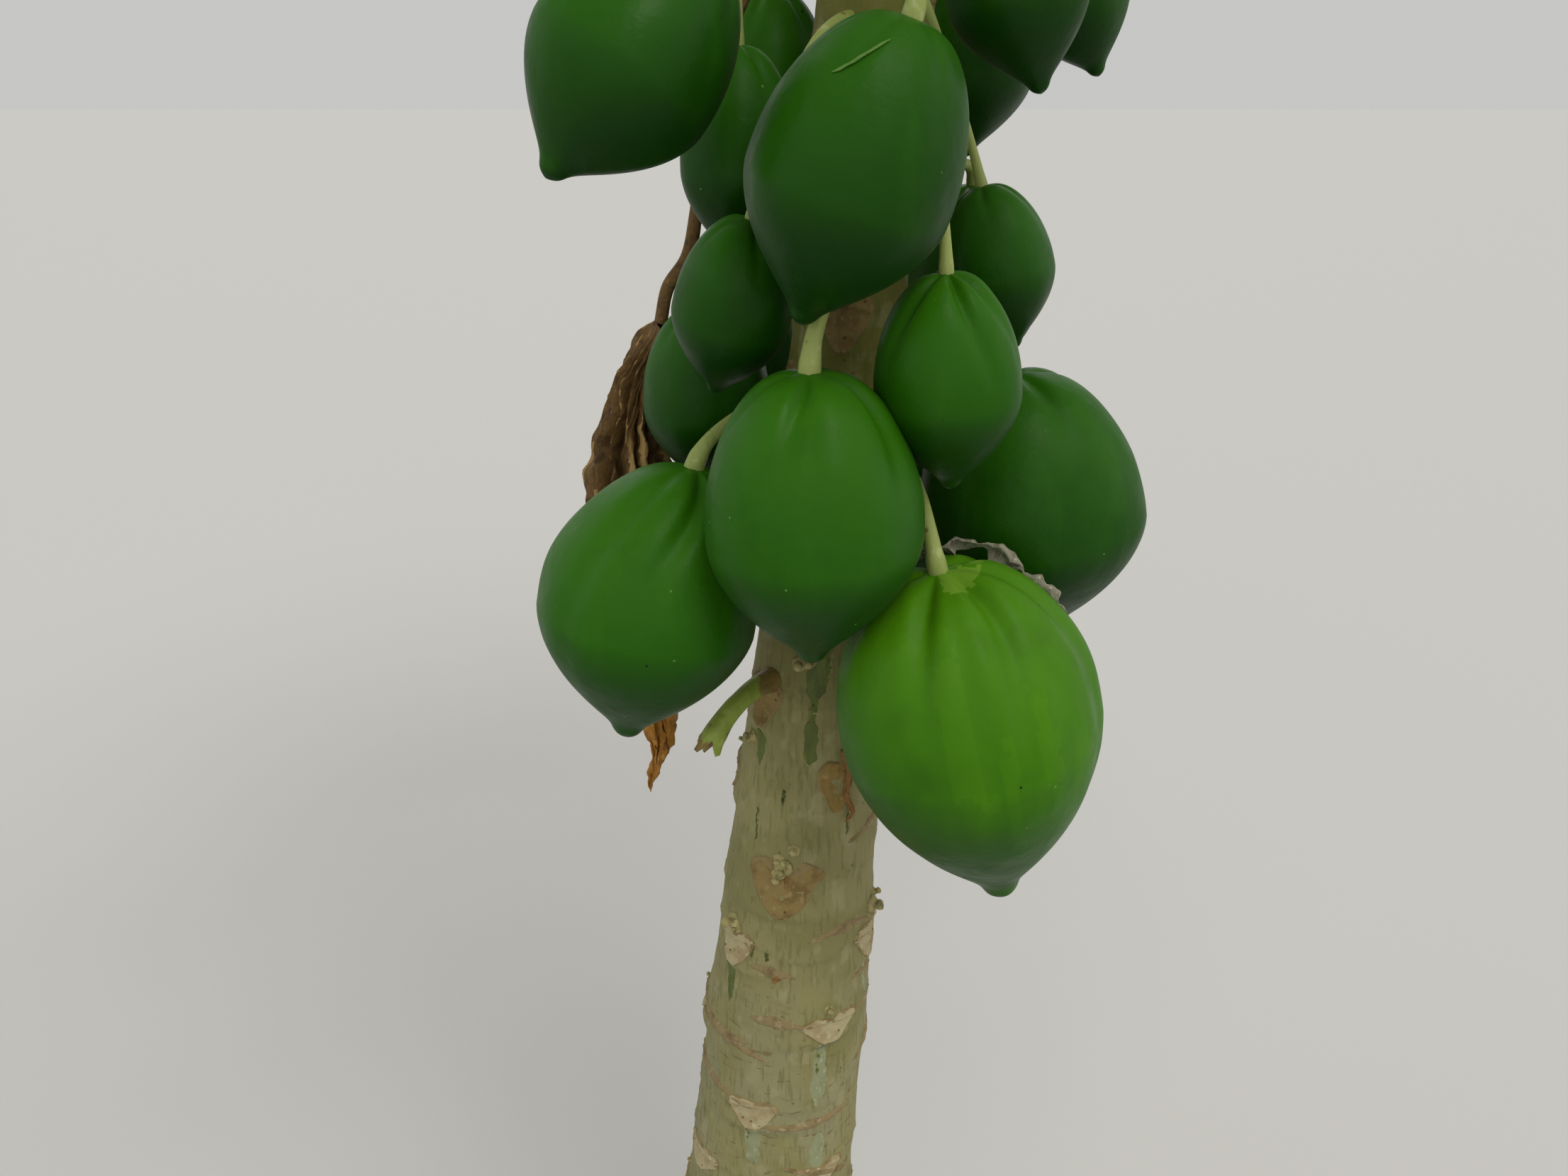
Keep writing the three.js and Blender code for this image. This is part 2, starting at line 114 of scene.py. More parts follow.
# By node: how far the top of a fruit, with its stalk, leans to the right of the plain shape, in metres, and
# the shares of its span that a stiffer stalk runs straight out and down.

TOP_SHIFTS = {13: 0.012}
TOP_SHIFT_FADE = 0.45
STALK_BENDS = {13: (0.30, 0.20), 19: (0.25, 0.30), 22: (0.10, 0.10)}

# The youngest fruits: each pair of values is for the lowest and the highest of them.

YOUNG_NODES = [31, 33, 34, 35]
YOUNG_LENGTH = (0.092, 0.060)
YOUNG_WIDTH = (0.060, 0.037)
YOUNG_HANG = 0.020
YOUNG_CLEAR = 0.016
YOUNG_SWING = 32

# A fruit's outline, as shares of its length or of its half width, and its stalk.

BELLY = 0.53
SHOULDER_ROUND = 0.56
BODY_END = 0.97
NIPPLE_FROM = 0.955
NIPPLE_RADIUS = 0.1
NIPPLE_BLEND = 0.16
FRUIT_DIP = 0.03
DIP_WIDTH = 0.3
RIBS = 5
RIB_LOW = 0.014
SHOULDER_PUFF = 0.05
PUFF_FADE = 0.12
STALK_ABOVE = 0.018
STALK_END = 0.0053
STALK_MIDDLE = 0.0039
STALK_FULL_WIDTH = 0.120
STALK_THINNEST = 0.6
STALK_BEND = (0.4, 0.35)

# Leaves: each pair of values is for the oldest leaf, at the bottom, and the youngest.

FIRST_LEAF = 31
LAST_LEAF = 53
PETIOLE_LENGTH = (0.690, 0.240)
PETIOLE_EASE = 1.4
PETIOLE_RISE = (13, 75)
PETIOLE_ARCH = 12
PETIOLE_RADIUS = (0.010, 0.005)
YOUNGEST_RADIUS = 0.5
BLADE_PITCH = (-34, 62)
PITCH_EASE = 1.4
BLADE_SPREAD = (1, 0.42)
SPREAD_EASE = 2
BLADE_SIZE = (0.340, 0.100)
SIZE_EASE = 1.5
BLADE_DROOP = 0.2
BLADE_LIFT = 0.035
LEAF_SWAY = 2.2

# A blade's lobes from the middle one outwards: the angle from the leaf's line, the length as a share of the
# blade's, and whether the sides are cut. Then, for a cut lobe and a plain one, the points of one side from
# the bay at its foot to its tip: along the lobe, beside it, and where the side vein to that point leaves
# the rib.

LOBES = [(0, 1, True), (40, 0.95, True), (79, 0.82, True), (117, 0.64, True), (152, 0.42, False)]
CUT_SIDE = [
    (0.47, 0.072, 0.40), (0.57, 0.145, 0.455), (0.67, 0.200, 0.51), (0.62, 0.070, 0.565), (0.76, 0.105, 0.66),
    (0.84, 0.118, 0.74), (0.80, 0.040, 0.77), (0.94, 0.046, 0.89), (0.93, 0.020, 0.92), (1.00, 0.000, 1.00),
]
PLAIN_SIDE = [(0.60, 0.105, 0.50), (0.84, 0.060, 0.78), (1.00, 0.000, 1.00)]
SIDE_VEINS = (2, 5, 7)
BAY = 0.4
BAY_RIB = 0.25
BASE = 0.1
BASE_ANGLE = 176


# Plain mathematics.

UP = np.array([0, 0, 1.0])


def mix(pair, share):
    return pair[0] + (pair[1] - pair[0]) * share


def unit(vectors):
    return vectors / np.linalg.norm(vectors, axis=-1, keepdims=True)


def bell(value):
    return np.exp(-(value**2))


def smooth_step(value, low, high):
    share = np.clip((value - low) / (high - low), 0, 1)
    return share * share * (3 - 2 * share)


def as_column(count, low=0, high=1):
    """Evenly spaced numbers, one for each row of a grid."""
    return np.linspace(low, high, count)[:, None]


def as_row(count, low=-1, high=1):
    """Evenly spaced numbers, one for each column of a grid."""
    return np.linspace(low, high, count)[None, :]


def circle(count, whole=2 * np.pi):
    """Angles all the way round, one for each column of a grid."""
    return np.linspace(0, whole, count, endpoint=False)[None, :]


def points_of(x, y, z):
    """Points from their coordinates, which may be grids, rows, columns or numbers."""
    return np.stack(np.broadcast_arrays(x, y, z), axis=-1)


def round_points(radius, angles, z):
    """Points at a radius round the upright axis."""
    return points_of(radius * np.cos(angles), radius * np.sin(angles), z)


def outward(bearing):
    """The level direction at a bearing in degrees."""
    return round_points(1, np.radians(bearing), 0)


def tilted(level, angle):
    """A level direction, turned up by an angle."""
    return level * math.cos(angle) + UP * math.sin(angle)


def value_noise(points, seed=0):
    """Smooth noise from -1 to 1 at each point, about one bump for each unit."""
    cell = np.floor(points).astype(np.int64)
    part = points - cell
    part = part * part * (3 - 2 * part)
    total = np.zeros(points.shape[:-1])
    for corner in np.ndindex(2, 2, 2):
        key = (cell + corner) @ np.array([73856093, 19349663, 83492791]) + seed * 2654435761
        key = ((key ^ (key >> 13)) * 1274126177) & 0xFFFFFFFF
        value = ((key ^ (key >> 16)) % 65536) / 32768 - 1
        total += value * np.prod(np.where(corner, part, 1 - part), axis=-1)
    return total


def rough(points, size, seed=0, octaves=2):
    """Noise from -1 to 1 with bumps of about size metres and finer ones on them."""
    total = np.zeros(points.shape[:-1])
    for octave in range(octaves):
        total += value_noise(points / size * 2**octave, seed + octave) / 2**octave
    return total / (2 - 2 ** (1 - octaves))


def shaken(points, size, seed, octaves=2):
    """A rough shift for each point, from -1 to 1 along all three axes."""
    return np.stack([rough(points, size, seed + axis, octaves) for axis in range(3)], axis=-1)


def spread_over(share, values):
    """Evenly spaced values, read at shares of the way along them."""
    return np.interp(share, np.linspace(0, 1, len(values)), values)


def bezier(knots, count):
    """A Bezier curve of any degree, as count points."""
    share = as_column(count)
    while len(knots) > 1:
        knots = [mix(pair, share) for pair in zip(knots, knots[1:])]
    return knots[0]


def spline(knots, count):
    """A smooth line through all the knots, as count points."""
    knots = np.asarray(knots, float)
    padded = np.vstack([2 * knots[0] - knots[1], knots, 2 * knots[-1] - knots[-2]])
    at = np.linspace(0, len(knots) - 1, count)
    i = np.minimum(at.astype(int), len(knots) - 2)
    t = (at - i)[:, None]
    a, b, c, d = padded[i], padded[i + 1], padded[i + 2], padded[i + 3]
    return 0.5 * (2 * b + (c - a) * t + (2 * a - 5 * b + 4 * c - d) * t**2 + (3 * b - a - 3 * c + d) * t**3)


def line_frames(line):
    """Two directions across each point of a line, which don't twist along it, as columns of a grid."""
    tangents = unit(np.gradient(line, axis=0))
    normal = UP if abs(tangents[0][2]) < 0.9 else np.array([1.0, 0, 0])
    normals = []
    for tangent in tangents:
        normal = unit(normal - tangent * (normal @ tangent))
        normals.append(normal)
    return np.array(normals)[:, None], np.cross(tangents, normals)[:, None]


def tube(line, radii, sides, flat=1.0):
    """Rings of points round a line. Radii hold one value for each point, or one for each point and side."""
    angles = circle(sides)[..., None]
    normals, binormals = line_frames(line)
    around = np.cos(angles) * normals + flat * np.sin(angles) * binormals
    return line[:, None] + around * np.reshape(radii, (len(line), -1, 1))


# Joined meshes.


def put(name, data):
    """A new object in the scene."""
    thing = bpy.data.objects.new(name, data)
    bpy.context.scene.collection.objects.link(thing)
    return thing


class Pile:
    """The points and faces of many small shapes that become one mesh."""

    def __init__(self):
        self.points = []
        self.faces = []
        self.slots = []
        self.count = 0

    def add_grid(self, grid, wrap=False, slot=0, ends=False, flip=False, keep=None):
        """A grid of points, which faces outwards where columns turn left as rows go forwards. Wrap joins its
        sides, ends closes its first and last row, slot is one number or one for each face, and keep marks the
        faces that stay."""
        rows, columns = grid.shape[:2]
        low = self.count + np.arange(rows - 1)[:, None] * columns
        left = np.arange(columns if wrap else columns - 1)[None, :]
        right = (left + 1) % columns
        faces = np.stack([low + left, low + right, low + columns + right, low + columns + left], axis=-1)
        slots = np.broadcast_to(slot, faces.shape[:2])
        if keep is not None:
            faces = faces[keep]
            slots = slots[keep]
        faces = faces.reshape(-1, 4)
        slots = slots.reshape(-1).tolist()
        self.points.append(grid.reshape(-1, 3))
        self.faces += (faces[:, ::-1] if flip else faces).tolist()
        self.slots += slots
        if ends:
            ring = self.count + np.arange(columns)
            self.faces += [ring[::-1].tolist(), (ring + (rows - 1) * columns).tolist()]
            self.slots += [slots[0], slots[-1]]
        self.count += rows * columns

    def add_limb(self, line, radii, sides=10, slot=0, flat=1.0):
        """A closed tube along a line."""
        self.add_grid(tube(line, radii, sides, flat), wrap=True, slot=slot, ends=True)

    def build(self, name, paints, nodes=()):
        """Makes the mesh object, which rides on the tree and stands for the named nodes."""
        mesh = bpy.data.meshes.new(name)
        mesh.from_pydata(np.concatenate(self.points).tolist(), [], self.faces)
        for paint in paints:
            mesh.materials.append(PAINTS[paint])
        mesh.polygons.foreach_set("material_index", self.slots)
        mesh.polygons.foreach_set("use_smooth", [True] * len(self.faces))
        mesh.update()
        piece = put(name, mesh)
        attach(piece, "root")
        if nodes:
            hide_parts(*nodes)


# Materials. A tone is a colour as it shows on a screen, from 0 to 255. FINE is the height of a bump, and LONG
# and LONGER draw a pattern out upwards.

FINE = 0.0006
LONG = (1, 1, 2)
LONGER = (1, 1, 3)


def linear(tone):
    """A tone as the shader's own numbers."""
    return (*((part / 255) ** 2.2 for part in tone), 1)


class Paint:
    """A material built up from patterns that lie in the model's own metres."""

    def __init__(self, name, base, roughness, **sockets):
        self.material = bpy.data.materials.new(name)
        self.material.use_nodes = True
        self.material.diffuse_color = linear(base)
        self.nodes = self.material.node_tree.nodes
        self.shader = self.nodes["Principled BSDF"]
        self.fill(self.shader, Base_Color=linear(base), Roughness=roughness, **sockets)
        self.place = self.nodes.new("ShaderNodeTexCoord").outputs["Object"]
        self.colour = linear(base)
        self.relief = None

    def feed(self, socket, value):
        """Sets a socket to a number or a colour, or links it to another node's output."""
        if isinstance(value, bpy.types.NodeSocket):
            self.material.node_tree.links.new(value, socket)
        else:
            socket.default_value = value

    def fill(self, node, **inputs):
        """Feeds inputs of a node by name, where _ stands for a space, and returns the node."""
        for name, value in inputs.items():
            self.feed(node.inputs[name.replace("_", " ")], value)
        return node

    def stretched(self, stretch):
        mapping = self.nodes.new("ShaderNodeMapping")
        return self.fill(mapping, Vector=self.place, Scale=[1 / share for share in stretch]).outputs["Vector"]

    def clouds(self, size, stretch=(1, 1, 1), detail=3):
        """Soft noise with patches of about size metres, drawn out along the axes by stretch."""
        noise = self.nodes.new("ShaderNodeTexNoise")
        return self.fill(noise, Vector=self.stretched(stretch), Scale=1 / size, Detail=detail).outputs["Fac"]

    def specks(self, size):
        """The distance to the nearest of many scattered points, in units of their spacing."""
        cells = self.nodes.new("ShaderNodeTexVoronoi")
        return self.fill(cells, Vector=self.stretched((1, 1, 1)), Scale=1 / size).outputs["Distance"]

    def upright_part(self, vector):
        return self.fill(self.nodes.new("ShaderNodeSeparateXYZ"), Vector=vector).outputs["Z"]

    def height(self):
        """The height above the ground, in metres."""
        return self.upright_part(self.place)

    def facing_up(self):
        """1 where the surface looks up, 0 where it is upright and -1 where it looks down."""
        return self.upright_part(self.nodes.new("ShaderNodeNewGeometry").outputs["Normal"])

    def ramp(self, value, low, high, start, end, kind="LINEAR"):
        """Goes from start to end as a value goes from low to high."""
        steps = self.nodes.new("ShaderNodeMapRange")
        steps.interpolation_type = kind
        self.fill(steps, Value=value, From_Min=low, From_Max=high, To_Min=start, To_Max=end)
        return steps.outputs["Result"]

    def between(self, value, low, high, strength=1.0):
        """0 where a value is at low or beyond, and strength where it is at high or beyond."""
        return self.ramp(value, low, high, 0, strength, "SMOOTHSTEP")

    def both(self, one, other):
        product = self.nodes.new("ShaderNodeMath")
        product.operation = "MULTIPLY"
        self.feed(product.inputs[0], one)
        self.feed(product.inputs[1], other)
        return product.outputs["Value"]

    def tint(self, tone, mask):
        """Lays a tone over what is there, where the mask is 1."""
        blend = self.nodes.new("ShaderNodeMix")
        blend.data_type = "RGBA"
        factor, below, above = blend.inputs[0], blend.inputs[6], blend.inputs[7]
        self.feed(factor, mask)
        self.feed(below, self.colour)
        self.feed(above, linear(tone))
        self.colour = blend.outputs[2]
        self.fill(self.shader, Base_Color=self.colour)

    def patches(self, tone, size, low, high, strength, stretch=(1, 1, 1), detail=3):
        """Lays a tone over where the clouds lie between low and high."""
        self.tint(tone, self.between(self.clouds(size, stretch, detail), low, high, strength))

    def dots(self, tone, size, low, high, strength=1.0):
        self.tint(tone, self.between(self.specks(size), low, high, strength))

    def scattered_dots(self, tone, size, low, high, cloud, cloud_low, cloud_high):
        """Dots that lie only inside patches."""
        dots = self.between(self.specks(size), low, high)
        self.tint(tone, self.both(dots, self.between(self.clouds(cloud), cloud_low, cloud_high)))

    def bump(self, value, depth):
        """Raises the surface by depth metres where a pattern is 1."""
        bump = self.fill(self.nodes.new("ShaderNodeBump"), Height=value, Distance=depth)
        if self.relief:
            self.fill(bump, Normal=self.relief)
        self.relief = bump.outputs["Normal"]
        self.fill(self.shader, Normal=self.relief)


def bark_paint(name, base):
    """Grey-beige bark, greener upwards and paler low down, with fine streaks and short level cracks."""
    paint = Paint(name, base, 0.75, Specular_IOR_Level=0.3)
    paint.patches((110, 107, 64), 0.060, 0.42, 0.62, 0.6)
    paint.tint((98, 99, 36), paint.between(paint.height(), 0.80, 1.10, 0.85))
    low = paint.between(paint.height(), 0.74, 0.50)
    pale = paint.between(paint.clouds(0.040, LONG, 5), 0.46, 0.60, 0.6)
    paint.tint((133, 130, 101), paint.both(pale, low))
    paint.patches((150, 146, 110), 0.014, 0.54, 0.68, 0.40, (1, 1, 1.6), 5)
    streaks = paint.clouds(0.0030, (1, 1, 10), 3)
    paint.tint((100, 98, 58), paint.between(streaks, 0.52, 0.68, 0.6))
    cracks = paint.clouds(0.0050, (2.6, 2.6, 0.8), 4)
    paint.tint((102, 84, 54), paint.both(paint.between(cracks, 0.61, 0.68, 0.75), low))
    paint.scattered_dots((90, 82, 50), 0.010, 0.14, 0.07, 0.03, 0.52, 0.62)
    paint.bump(paint.clouds(0.012, (1, 1, 1.5), 4), 0.0014)
    paint.bump(streaks, 0.0006)
    paint.bump(cracks, -0.0005)
    return paint.material


def scar_paint(name, base, dark, light):
    """The corky skin of a healed leaf scar, with dark specks where the veins ran."""
    paint = Paint(name, base, 0.85, Specular_IOR_Level=0.2)
    paint.patches(dark, 0.014, 0.45, 0.62, 0.7, detail=4)
    paint.patches(light, 0.006, 0.58, 0.70, 0.6, detail=4)
    paint.dots((84, 58, 36), 0.009, 0.15, 0.08, 0.8)
    paint.bump(paint.clouds(0.004, detail=4), 0.0012)
    return paint.material


def plain_paint(name, base, dark, light, roughness, size, bump=FINE, stretch=(1, 1, 1)):
    """A tone that clouds over into a darker and a lighter one, with a fine bump."""
    paint = Paint(name, base, roughness)
    paint.patches(dark, size, 0.48, 0.68, 0.75, stretch, 4)
    paint.patches(light, size * 0.6, 0.56, 0.72, 0.7, stretch, 4)
    paint.bump(paint.clouds(size * 0.3, stretch, 4), bump)
    return paint.material


def skin_paint(name, base, top, low):
    """A waxy unripe fruit: yellower and lighter where it looks up, partly real sun-yellowed skin and partly
    painted light, and bluer and darker where it looks down, as painted shade.
    """
    paint = Paint(name, base, 0.42, Specular_IOR_Level=0.12)
    paint.fill(paint.shader, Sheen_Weight=0.015, Sheen_Roughness=0.35, Sheen_Tint=(0.45, 0.72, 0.50, 1))
    # Painted light, with some real sun-yellowing: the lighter, yellower top tone on faces that look up.
    paint.tint(top, paint.between(paint.facing_up(), 0.0, 0.85, 0.8))
    paint.patches(top, 0.030, 0.50, 0.74, 0.45, (1, 1, 5))
    paint.patches(low, 0.045, 0.52, 0.74, 0.22)
    # Painted shade: the darker low tone on faces that look down.
    paint.tint(low, paint.between(paint.facing_up(), 0.25, -0.70, 0.85))
    paint.scattered_dots((96, 134, 60), 0.018, 0.050, 0.030, 0.05, 0.50, 0.6)
    paint.scattered_dots((18, 34, 10), 0.024, 0.045, 0.028, 0.06, 0.48, 0.56)
    paint.fill(paint.shader, Roughness=paint.ramp(paint.clouds(0.02, detail=4), 0.35, 0.7, 0.38, 0.52))
    paint.bump(paint.clouds(0.014), 0.0008)
    paint.bump(paint.clouds(0.0016, detail=2), 0.00010)
    return paint.material


def stalk_paint(name, base, dark, light):
    """A fleshy stalk with small brown marks."""
    paint = Paint(name, base, 0.5, Specular_IOR_Level=0.35)
    paint.patches(dark, 0.02, 0.48, 0.66, 0.7, (1, 1, 2.5))
    paint.patches(light, 0.010, 0.58, 0.70, 0.6)
    paint.dots((104, 78, 44), 0.013, 0.17, 0.09, 0.85)
    paint.bump(paint.clouds(0.004, LONGER), 0.0007)
    return paint.material


def leaf_paint(name, base, light, dark):
    """A leaf's face, mottled between its veins."""
    paint = Paint(name, base, 0.55, Specular_IOR_Level=0.35, Sheen_Weight=0.1)
    paint.patches(light, 0.09, 0.44, 0.66, 0.8)
    paint.patches(dark, 0.03, 0.56, 0.72, 0.5, detail=4)
    paint.bump(paint.clouds(0.010, detail=4), 0.0012)
    return paint.material


# Every material of the tree: its maker, its tones, and for a plain one the roughness, the size of its clouds,
# its bump and how far it is drawn out along the axes.

MATERIALS = {
    "bark": (bark_paint, (130, 125, 83)),
    "brown_scar": (scar_paint, (130, 112, 70), (104, 84, 50), (150, 134, 92)),
    "pale_scar": (scar_paint, (160, 150, 116), (142, 124, 90), (180, 174, 146)),
    "rust_scar": (scar_paint, (134, 112, 64), (108, 82, 44), (156, 138, 92)),
    "scar_rim": (plain_paint, (126, 110, 72), (98, 80, 50), (150, 140, 100), 0.85, 0.012),
    "ring": (plain_paint, (128, 112, 76), (96, 78, 50), (154, 144, 108), 0.85, 0.010, 0.0014),
    "open_bark": (plain_paint, (80, 92, 20), (60, 74, 14), (102, 114, 34), 0.6, 0.008, FINE, LONGER),
    "pale_bark": (plain_paint, (130, 134, 100), (118, 120, 84), (160, 164, 136), 0.8, 0.006, FINE, LONG),
    "dried_bud": (plain_paint, (150, 140, 92), (84, 82, 44), (190, 184, 148), 0.85, 0.006, 0.0008),
    "rust_fibre": (plain_paint, (128, 92, 48), (98, 66, 32), (168, 136, 86), 0.85, 0.008, 0.0010),
    # Each skin's second tone is partly painted light on faces that look up, and its third is painted shade on
    # faces that look down; both also serve as random mottling.
    "skin_deep": (skin_paint, (41, 90, 9), (54, 106, 18), (20, 54, 8)),
    "skin_dark": (skin_paint, (32, 75, 9), (48, 98, 18), (17, 48, 7)),
    "skin_ripening": (skin_paint, (59, 109, 9), (77, 129, 19), (24, 60, 9)),
    "skin_streak": (skin_paint, (63, 113, 10), (81, 132, 20), (25, 62, 10)),
    "skin_shoulder": (skin_paint, (88, 132, 30), (108, 150, 46), (70, 108, 28)),
    "scratch": (plain_paint, (80, 118, 42), (62, 104, 28), (104, 136, 64), 0.7, 0.004, 0.0002),
    "fruit_stalk": (stalk_paint, (144, 156, 86), (120, 138, 62), (176, 180, 126)),
    "torn_stalk": (stalk_paint, (132, 148, 62), (108, 124, 48), (156, 166, 88)),
    "dry_stalk": (stalk_paint, (124, 104, 56), (88, 74, 40), (150, 128, 76)),
    "leaf_face": (leaf_paint, (70, 112, 30), (92, 132, 40), (54, 94, 28)),
    "leaf_back": (leaf_paint, (112, 142, 76), (126, 152, 84), (96, 128, 64)),
    "vein": (plain_paint, (160, 174, 96), (138, 158, 78), (178, 188, 120), 0.5, 0.03, 0.0002),
    "petiole": (plain_paint, (122, 146, 68), (102, 128, 54), (148, 162, 92), 0.45, 0.04, 0.0004, LONGER),
    "withered": (plain_paint, (104, 78, 40), (66, 46, 22), (132, 104, 58), 0.8, 0.010, 0.0012),
    "withered_fold": (plain_paint, (156, 126, 74), (118, 90, 48), (184, 160, 110), 0.8, 0.01, 0.001, LONGER),
    "withered_rust": (plain_paint, (158, 108, 34), (120, 76, 24), (186, 144, 66), 0.8, 0.01, 0.001),
    "dry_shred": (plain_paint, (138, 134, 116), (84, 78, 62), (200, 196, 180), 0.85, 0.006, 0.0010),
    "blossom": (plain_paint, (222, 218, 184), (200, 204, 148), (238, 236, 216), 0.5, 0.02, 0.0002),
}
PAINTS = {name: maker(name, *tones) for name, (maker, *tones) in MATERIALS.items()}


# The trunk, its scars and the spiral.


def trunk_centre(height):
    return points_of(height * (TRUNK_LEAN - TRUNK_EASING * height), 0, height)


def trunk_radius(height):
    return np.interp(height, *zip(*TRUNK_RADII))


def node_height(node):
    if node < 0:
        return FIRST_HEIGHT + OLD_STEP * node
    return FIRST_HEIGHT + NODE_STEP * node - NODE_CROWDING * node * node


def node_bearing(node):
    return FIRST_BEARING + NODE_TURN * node


def turned_from(bearing, centre):
    """How far a bearing is from another, from -180 to 180 degrees."""
    return (bearing - centre + 180) % 360 - 180


def root_at(node, above=0.0, swing=0.0):
    """A point sunk just under the bark at a node, or a little above it and beside it."""
    height = node_height(node) + above
    return trunk_centre(height) + outward(node_bearing(node) + swing) * (trunk_radius(height) - SUNK)


# Scars that the photograph shows off the rule. By node: height, bearing, width and height of the scar, the
# depth of the notch in its upper edge, and its tone: 0 brown, 1 pale, 2 rust.

SEEN_SCARS = {
    16: (1.134, 262, 0.040, 0.038, 0.10, 0),
    5: (0.874, 217, 0.042, 0.040, 0.04, 0),
    3: (0.818, 289, 0.034, 0.044, 0.04, 2),
    0: (0.734, 255, 0.064, 0.052, 0.34, 0),
    -2: (0.668, 334, 0.044, 0.036, 0.10, 1),
    -3: (0.670, 221, 0.040, 0.034, 0.14, 1),
    -5: (0.605, 299, 0.056, 0.026, 0.08, 1),
    -8: (0.522, 250, 0.050, 0.030, 0.04, 1),
    -10: (0.452, 300, 0.050, 0.026, 0.08, 1),
    -11: (0.446, 211, 0.050, 0.026, 0.08, 1),
}
PALE_BELOW = 0.70


def leaf_scars():
    """Every leaf scar from the foot to the lowest fruiting leaf: node, then as in SEEN_SCARS."""
    scars = []
    for node in range(OLDEST_SCAR, FIRST_LEAF):
        height = node_height(node)
        wide = 0.052 * (trunk_radius(height) / 0.060) ** 0.7
        tall = 0.028 if node < 0 else 0.036 * (1 - 0.012 * node)
        notch = 0.12 + 0.08 * math.sin(5 * node)
        tone = 1 if height < PALE_BELOW else 0
        scars.append((node, *SEEN_SCARS.get(node, (height, node_bearing(node), wide, tall, notch, tone))))
    return scars


SCARS = leaf_scars()

# Rings that the photograph shows: height and bearing at the start, the middle and the end, and the half
# height.

SEEN_RINGS = [
    ((0.687, 276), (0.693, 304), (0.686, 332), 0.0062),
    ((0.571, 172), (0.582, 208), (0.588, 244), 0.0058),
    ((0.613, 238), (0.614, 260), (0.612, 286), 0.0058),
    ((0.608, 316), (0.605, 336), (0.600, 358), 0.0044),
    ((0.530, 172), (0.534, 206), (0.530, 244), 0.0052),
    ((0.513, 254), (0.510, 290), (0.508, 328), 0.0066),
    ((0.468, 272), (0.452, 306), (0.430, 338), 0.0058),
    ((0.660, 236), (0.660, 250), (0.655, 270), 0.0058),
    ((0.640, 316), (0.636, 332), (0.630, 350), 0.0040),
]
HIDDEN_RINGS_BELOW = 0.78
FRONT_RINGS_BELOW = 0.42
RING_FALL = ((0, 0), (0.003, 0.5), (0.010, 1))


def hidden_rings():
    """Rings on the sides that the photograph doesn't show, from the corners of each scar."""
    rings = []
    for node, height, bearing, wide, tall, *_ in SCARS:
        front = abs(turned_from(bearing, 270)) < 100
        if height > (FRONT_RINGS_BELOW if front else HIDDEN_RINGS_BELOW):
            continue
        for way in (-1, 1):
            span = 48 + 26 * math.sin(3 * node + way)
            corner = bearing + way * math.degrees(0.36 * wide / trunk_radius(height))
            line = [(height + 0.30 * tall - drop, corner + way * span * part) for drop, part in RING_FALL]
            rings.append((*line, 0.0052 + 0.0008 * math.sin(node)))
    return rings


BARK_SUNK = 0.0022
LEDGE = 0.0048
LEDGE_ABOVE = 0.032
LEDGE_BELOW = 0.006
RING_LIFT = 0.0005
RING_HALF = 0.0035
RING_STEP = 0.0012
RING_DROP = 0.012
RING_SPAN = 85


def bark_relief(height, bearing):
    """How far the bark stands off the plain trunk: a ledge at each scar, a level line that runs round the
    trunk from the scar's upper corners and sinks away from it, and a rough surface."""
    radius = trunk_radius(height)
    relief = np.full(height.shape, -BARK_SUNK)
    for _, centre, middle, wide, tall, *_ in SCARS:
        turned = turned_from(bearing, middle)
        beside = np.radians(turned) * radius
        above = height - (centre - 0.45 * tall)
        ledge = np.where(above > 0, np.exp(-np.abs(above) / LEDGE_ABOVE), bell(above / LEDGE_BELOW))
        young = smooth_step(centre, 1.3, 0.6)
        relief += LEDGE * (0.35 + 0.65 * young) * bell(beside / (0.72 * wide)) * ledge
        wave = 0.0015 * np.sin(np.radians(7 * turned + 3 * middle))
        line = centre + 0.22 * tall - RING_DROP * (np.abs(turned) / RING_SPAN) ** 1.5 + wave
        fade = smooth_step(np.abs(turned), RING_SPAN + 20, RING_SPAN - 40)
        relief += RING_LIFT * fade * bell((height - line) / RING_HALF)
        relief += RING_STEP * fade * (np.exp(-np.abs(height - line) / 0.02) * (height > line))
    place = trunk_centre(height) + outward(bearing) * radius[..., None]
    relief += 0.0010 * rough(place, 0.030, 3)
    relief += 0.0005 * rough(place, 0.007, 5)
    relief += 0.0003 * rough(place * (1, 1, 0.12), 0.003, 7, 1)
    return relief


def bark_surface(height, bearing, lift=0.0):
    """Points on the bark, lifted off it by lift."""
    height, bearing = np.broadcast_arrays(height, bearing)
    swell = BUTTRESS_SWELL * np.cos(np.radians(BUTTRESS_COUNT * bearing)) * np.exp(-height / BUTTRESS_FADE)
    end = smooth_step(height, TRUNK_HEIGHT, TRUNK_HEIGHT - 0.06)
    radius = trunk_radius(height) * (1 + swell) + end * bark_relief(height, bearing) + lift
    return trunk_centre(height) + outward(bearing) * radius[..., None]


TRUNK_COLUMNS = 168
LOW_ROWS = 350
HIGH_ROWS = 170
ROWS_CHANGE = 0.98


def make_trunk():
    low = np.linspace(0, ROWS_CHANGE, LOW_ROWS, endpoint=False)
    high = np.linspace(ROWS_CHANGE, TRUNK_HEIGHT, HIGH_ROWS)
    heights = np.concatenate([low, high])[:, None]
    pile = Pile()
    pile.add_grid(bark_surface(heights, circle(TRUNK_COLUMNS, 360)), wrap=True, ends=True)
    pile.build("trunk_bark", ["bark"], ["trunk"])


SCAR_GRID = 24
SCAR_RIM = 0.86


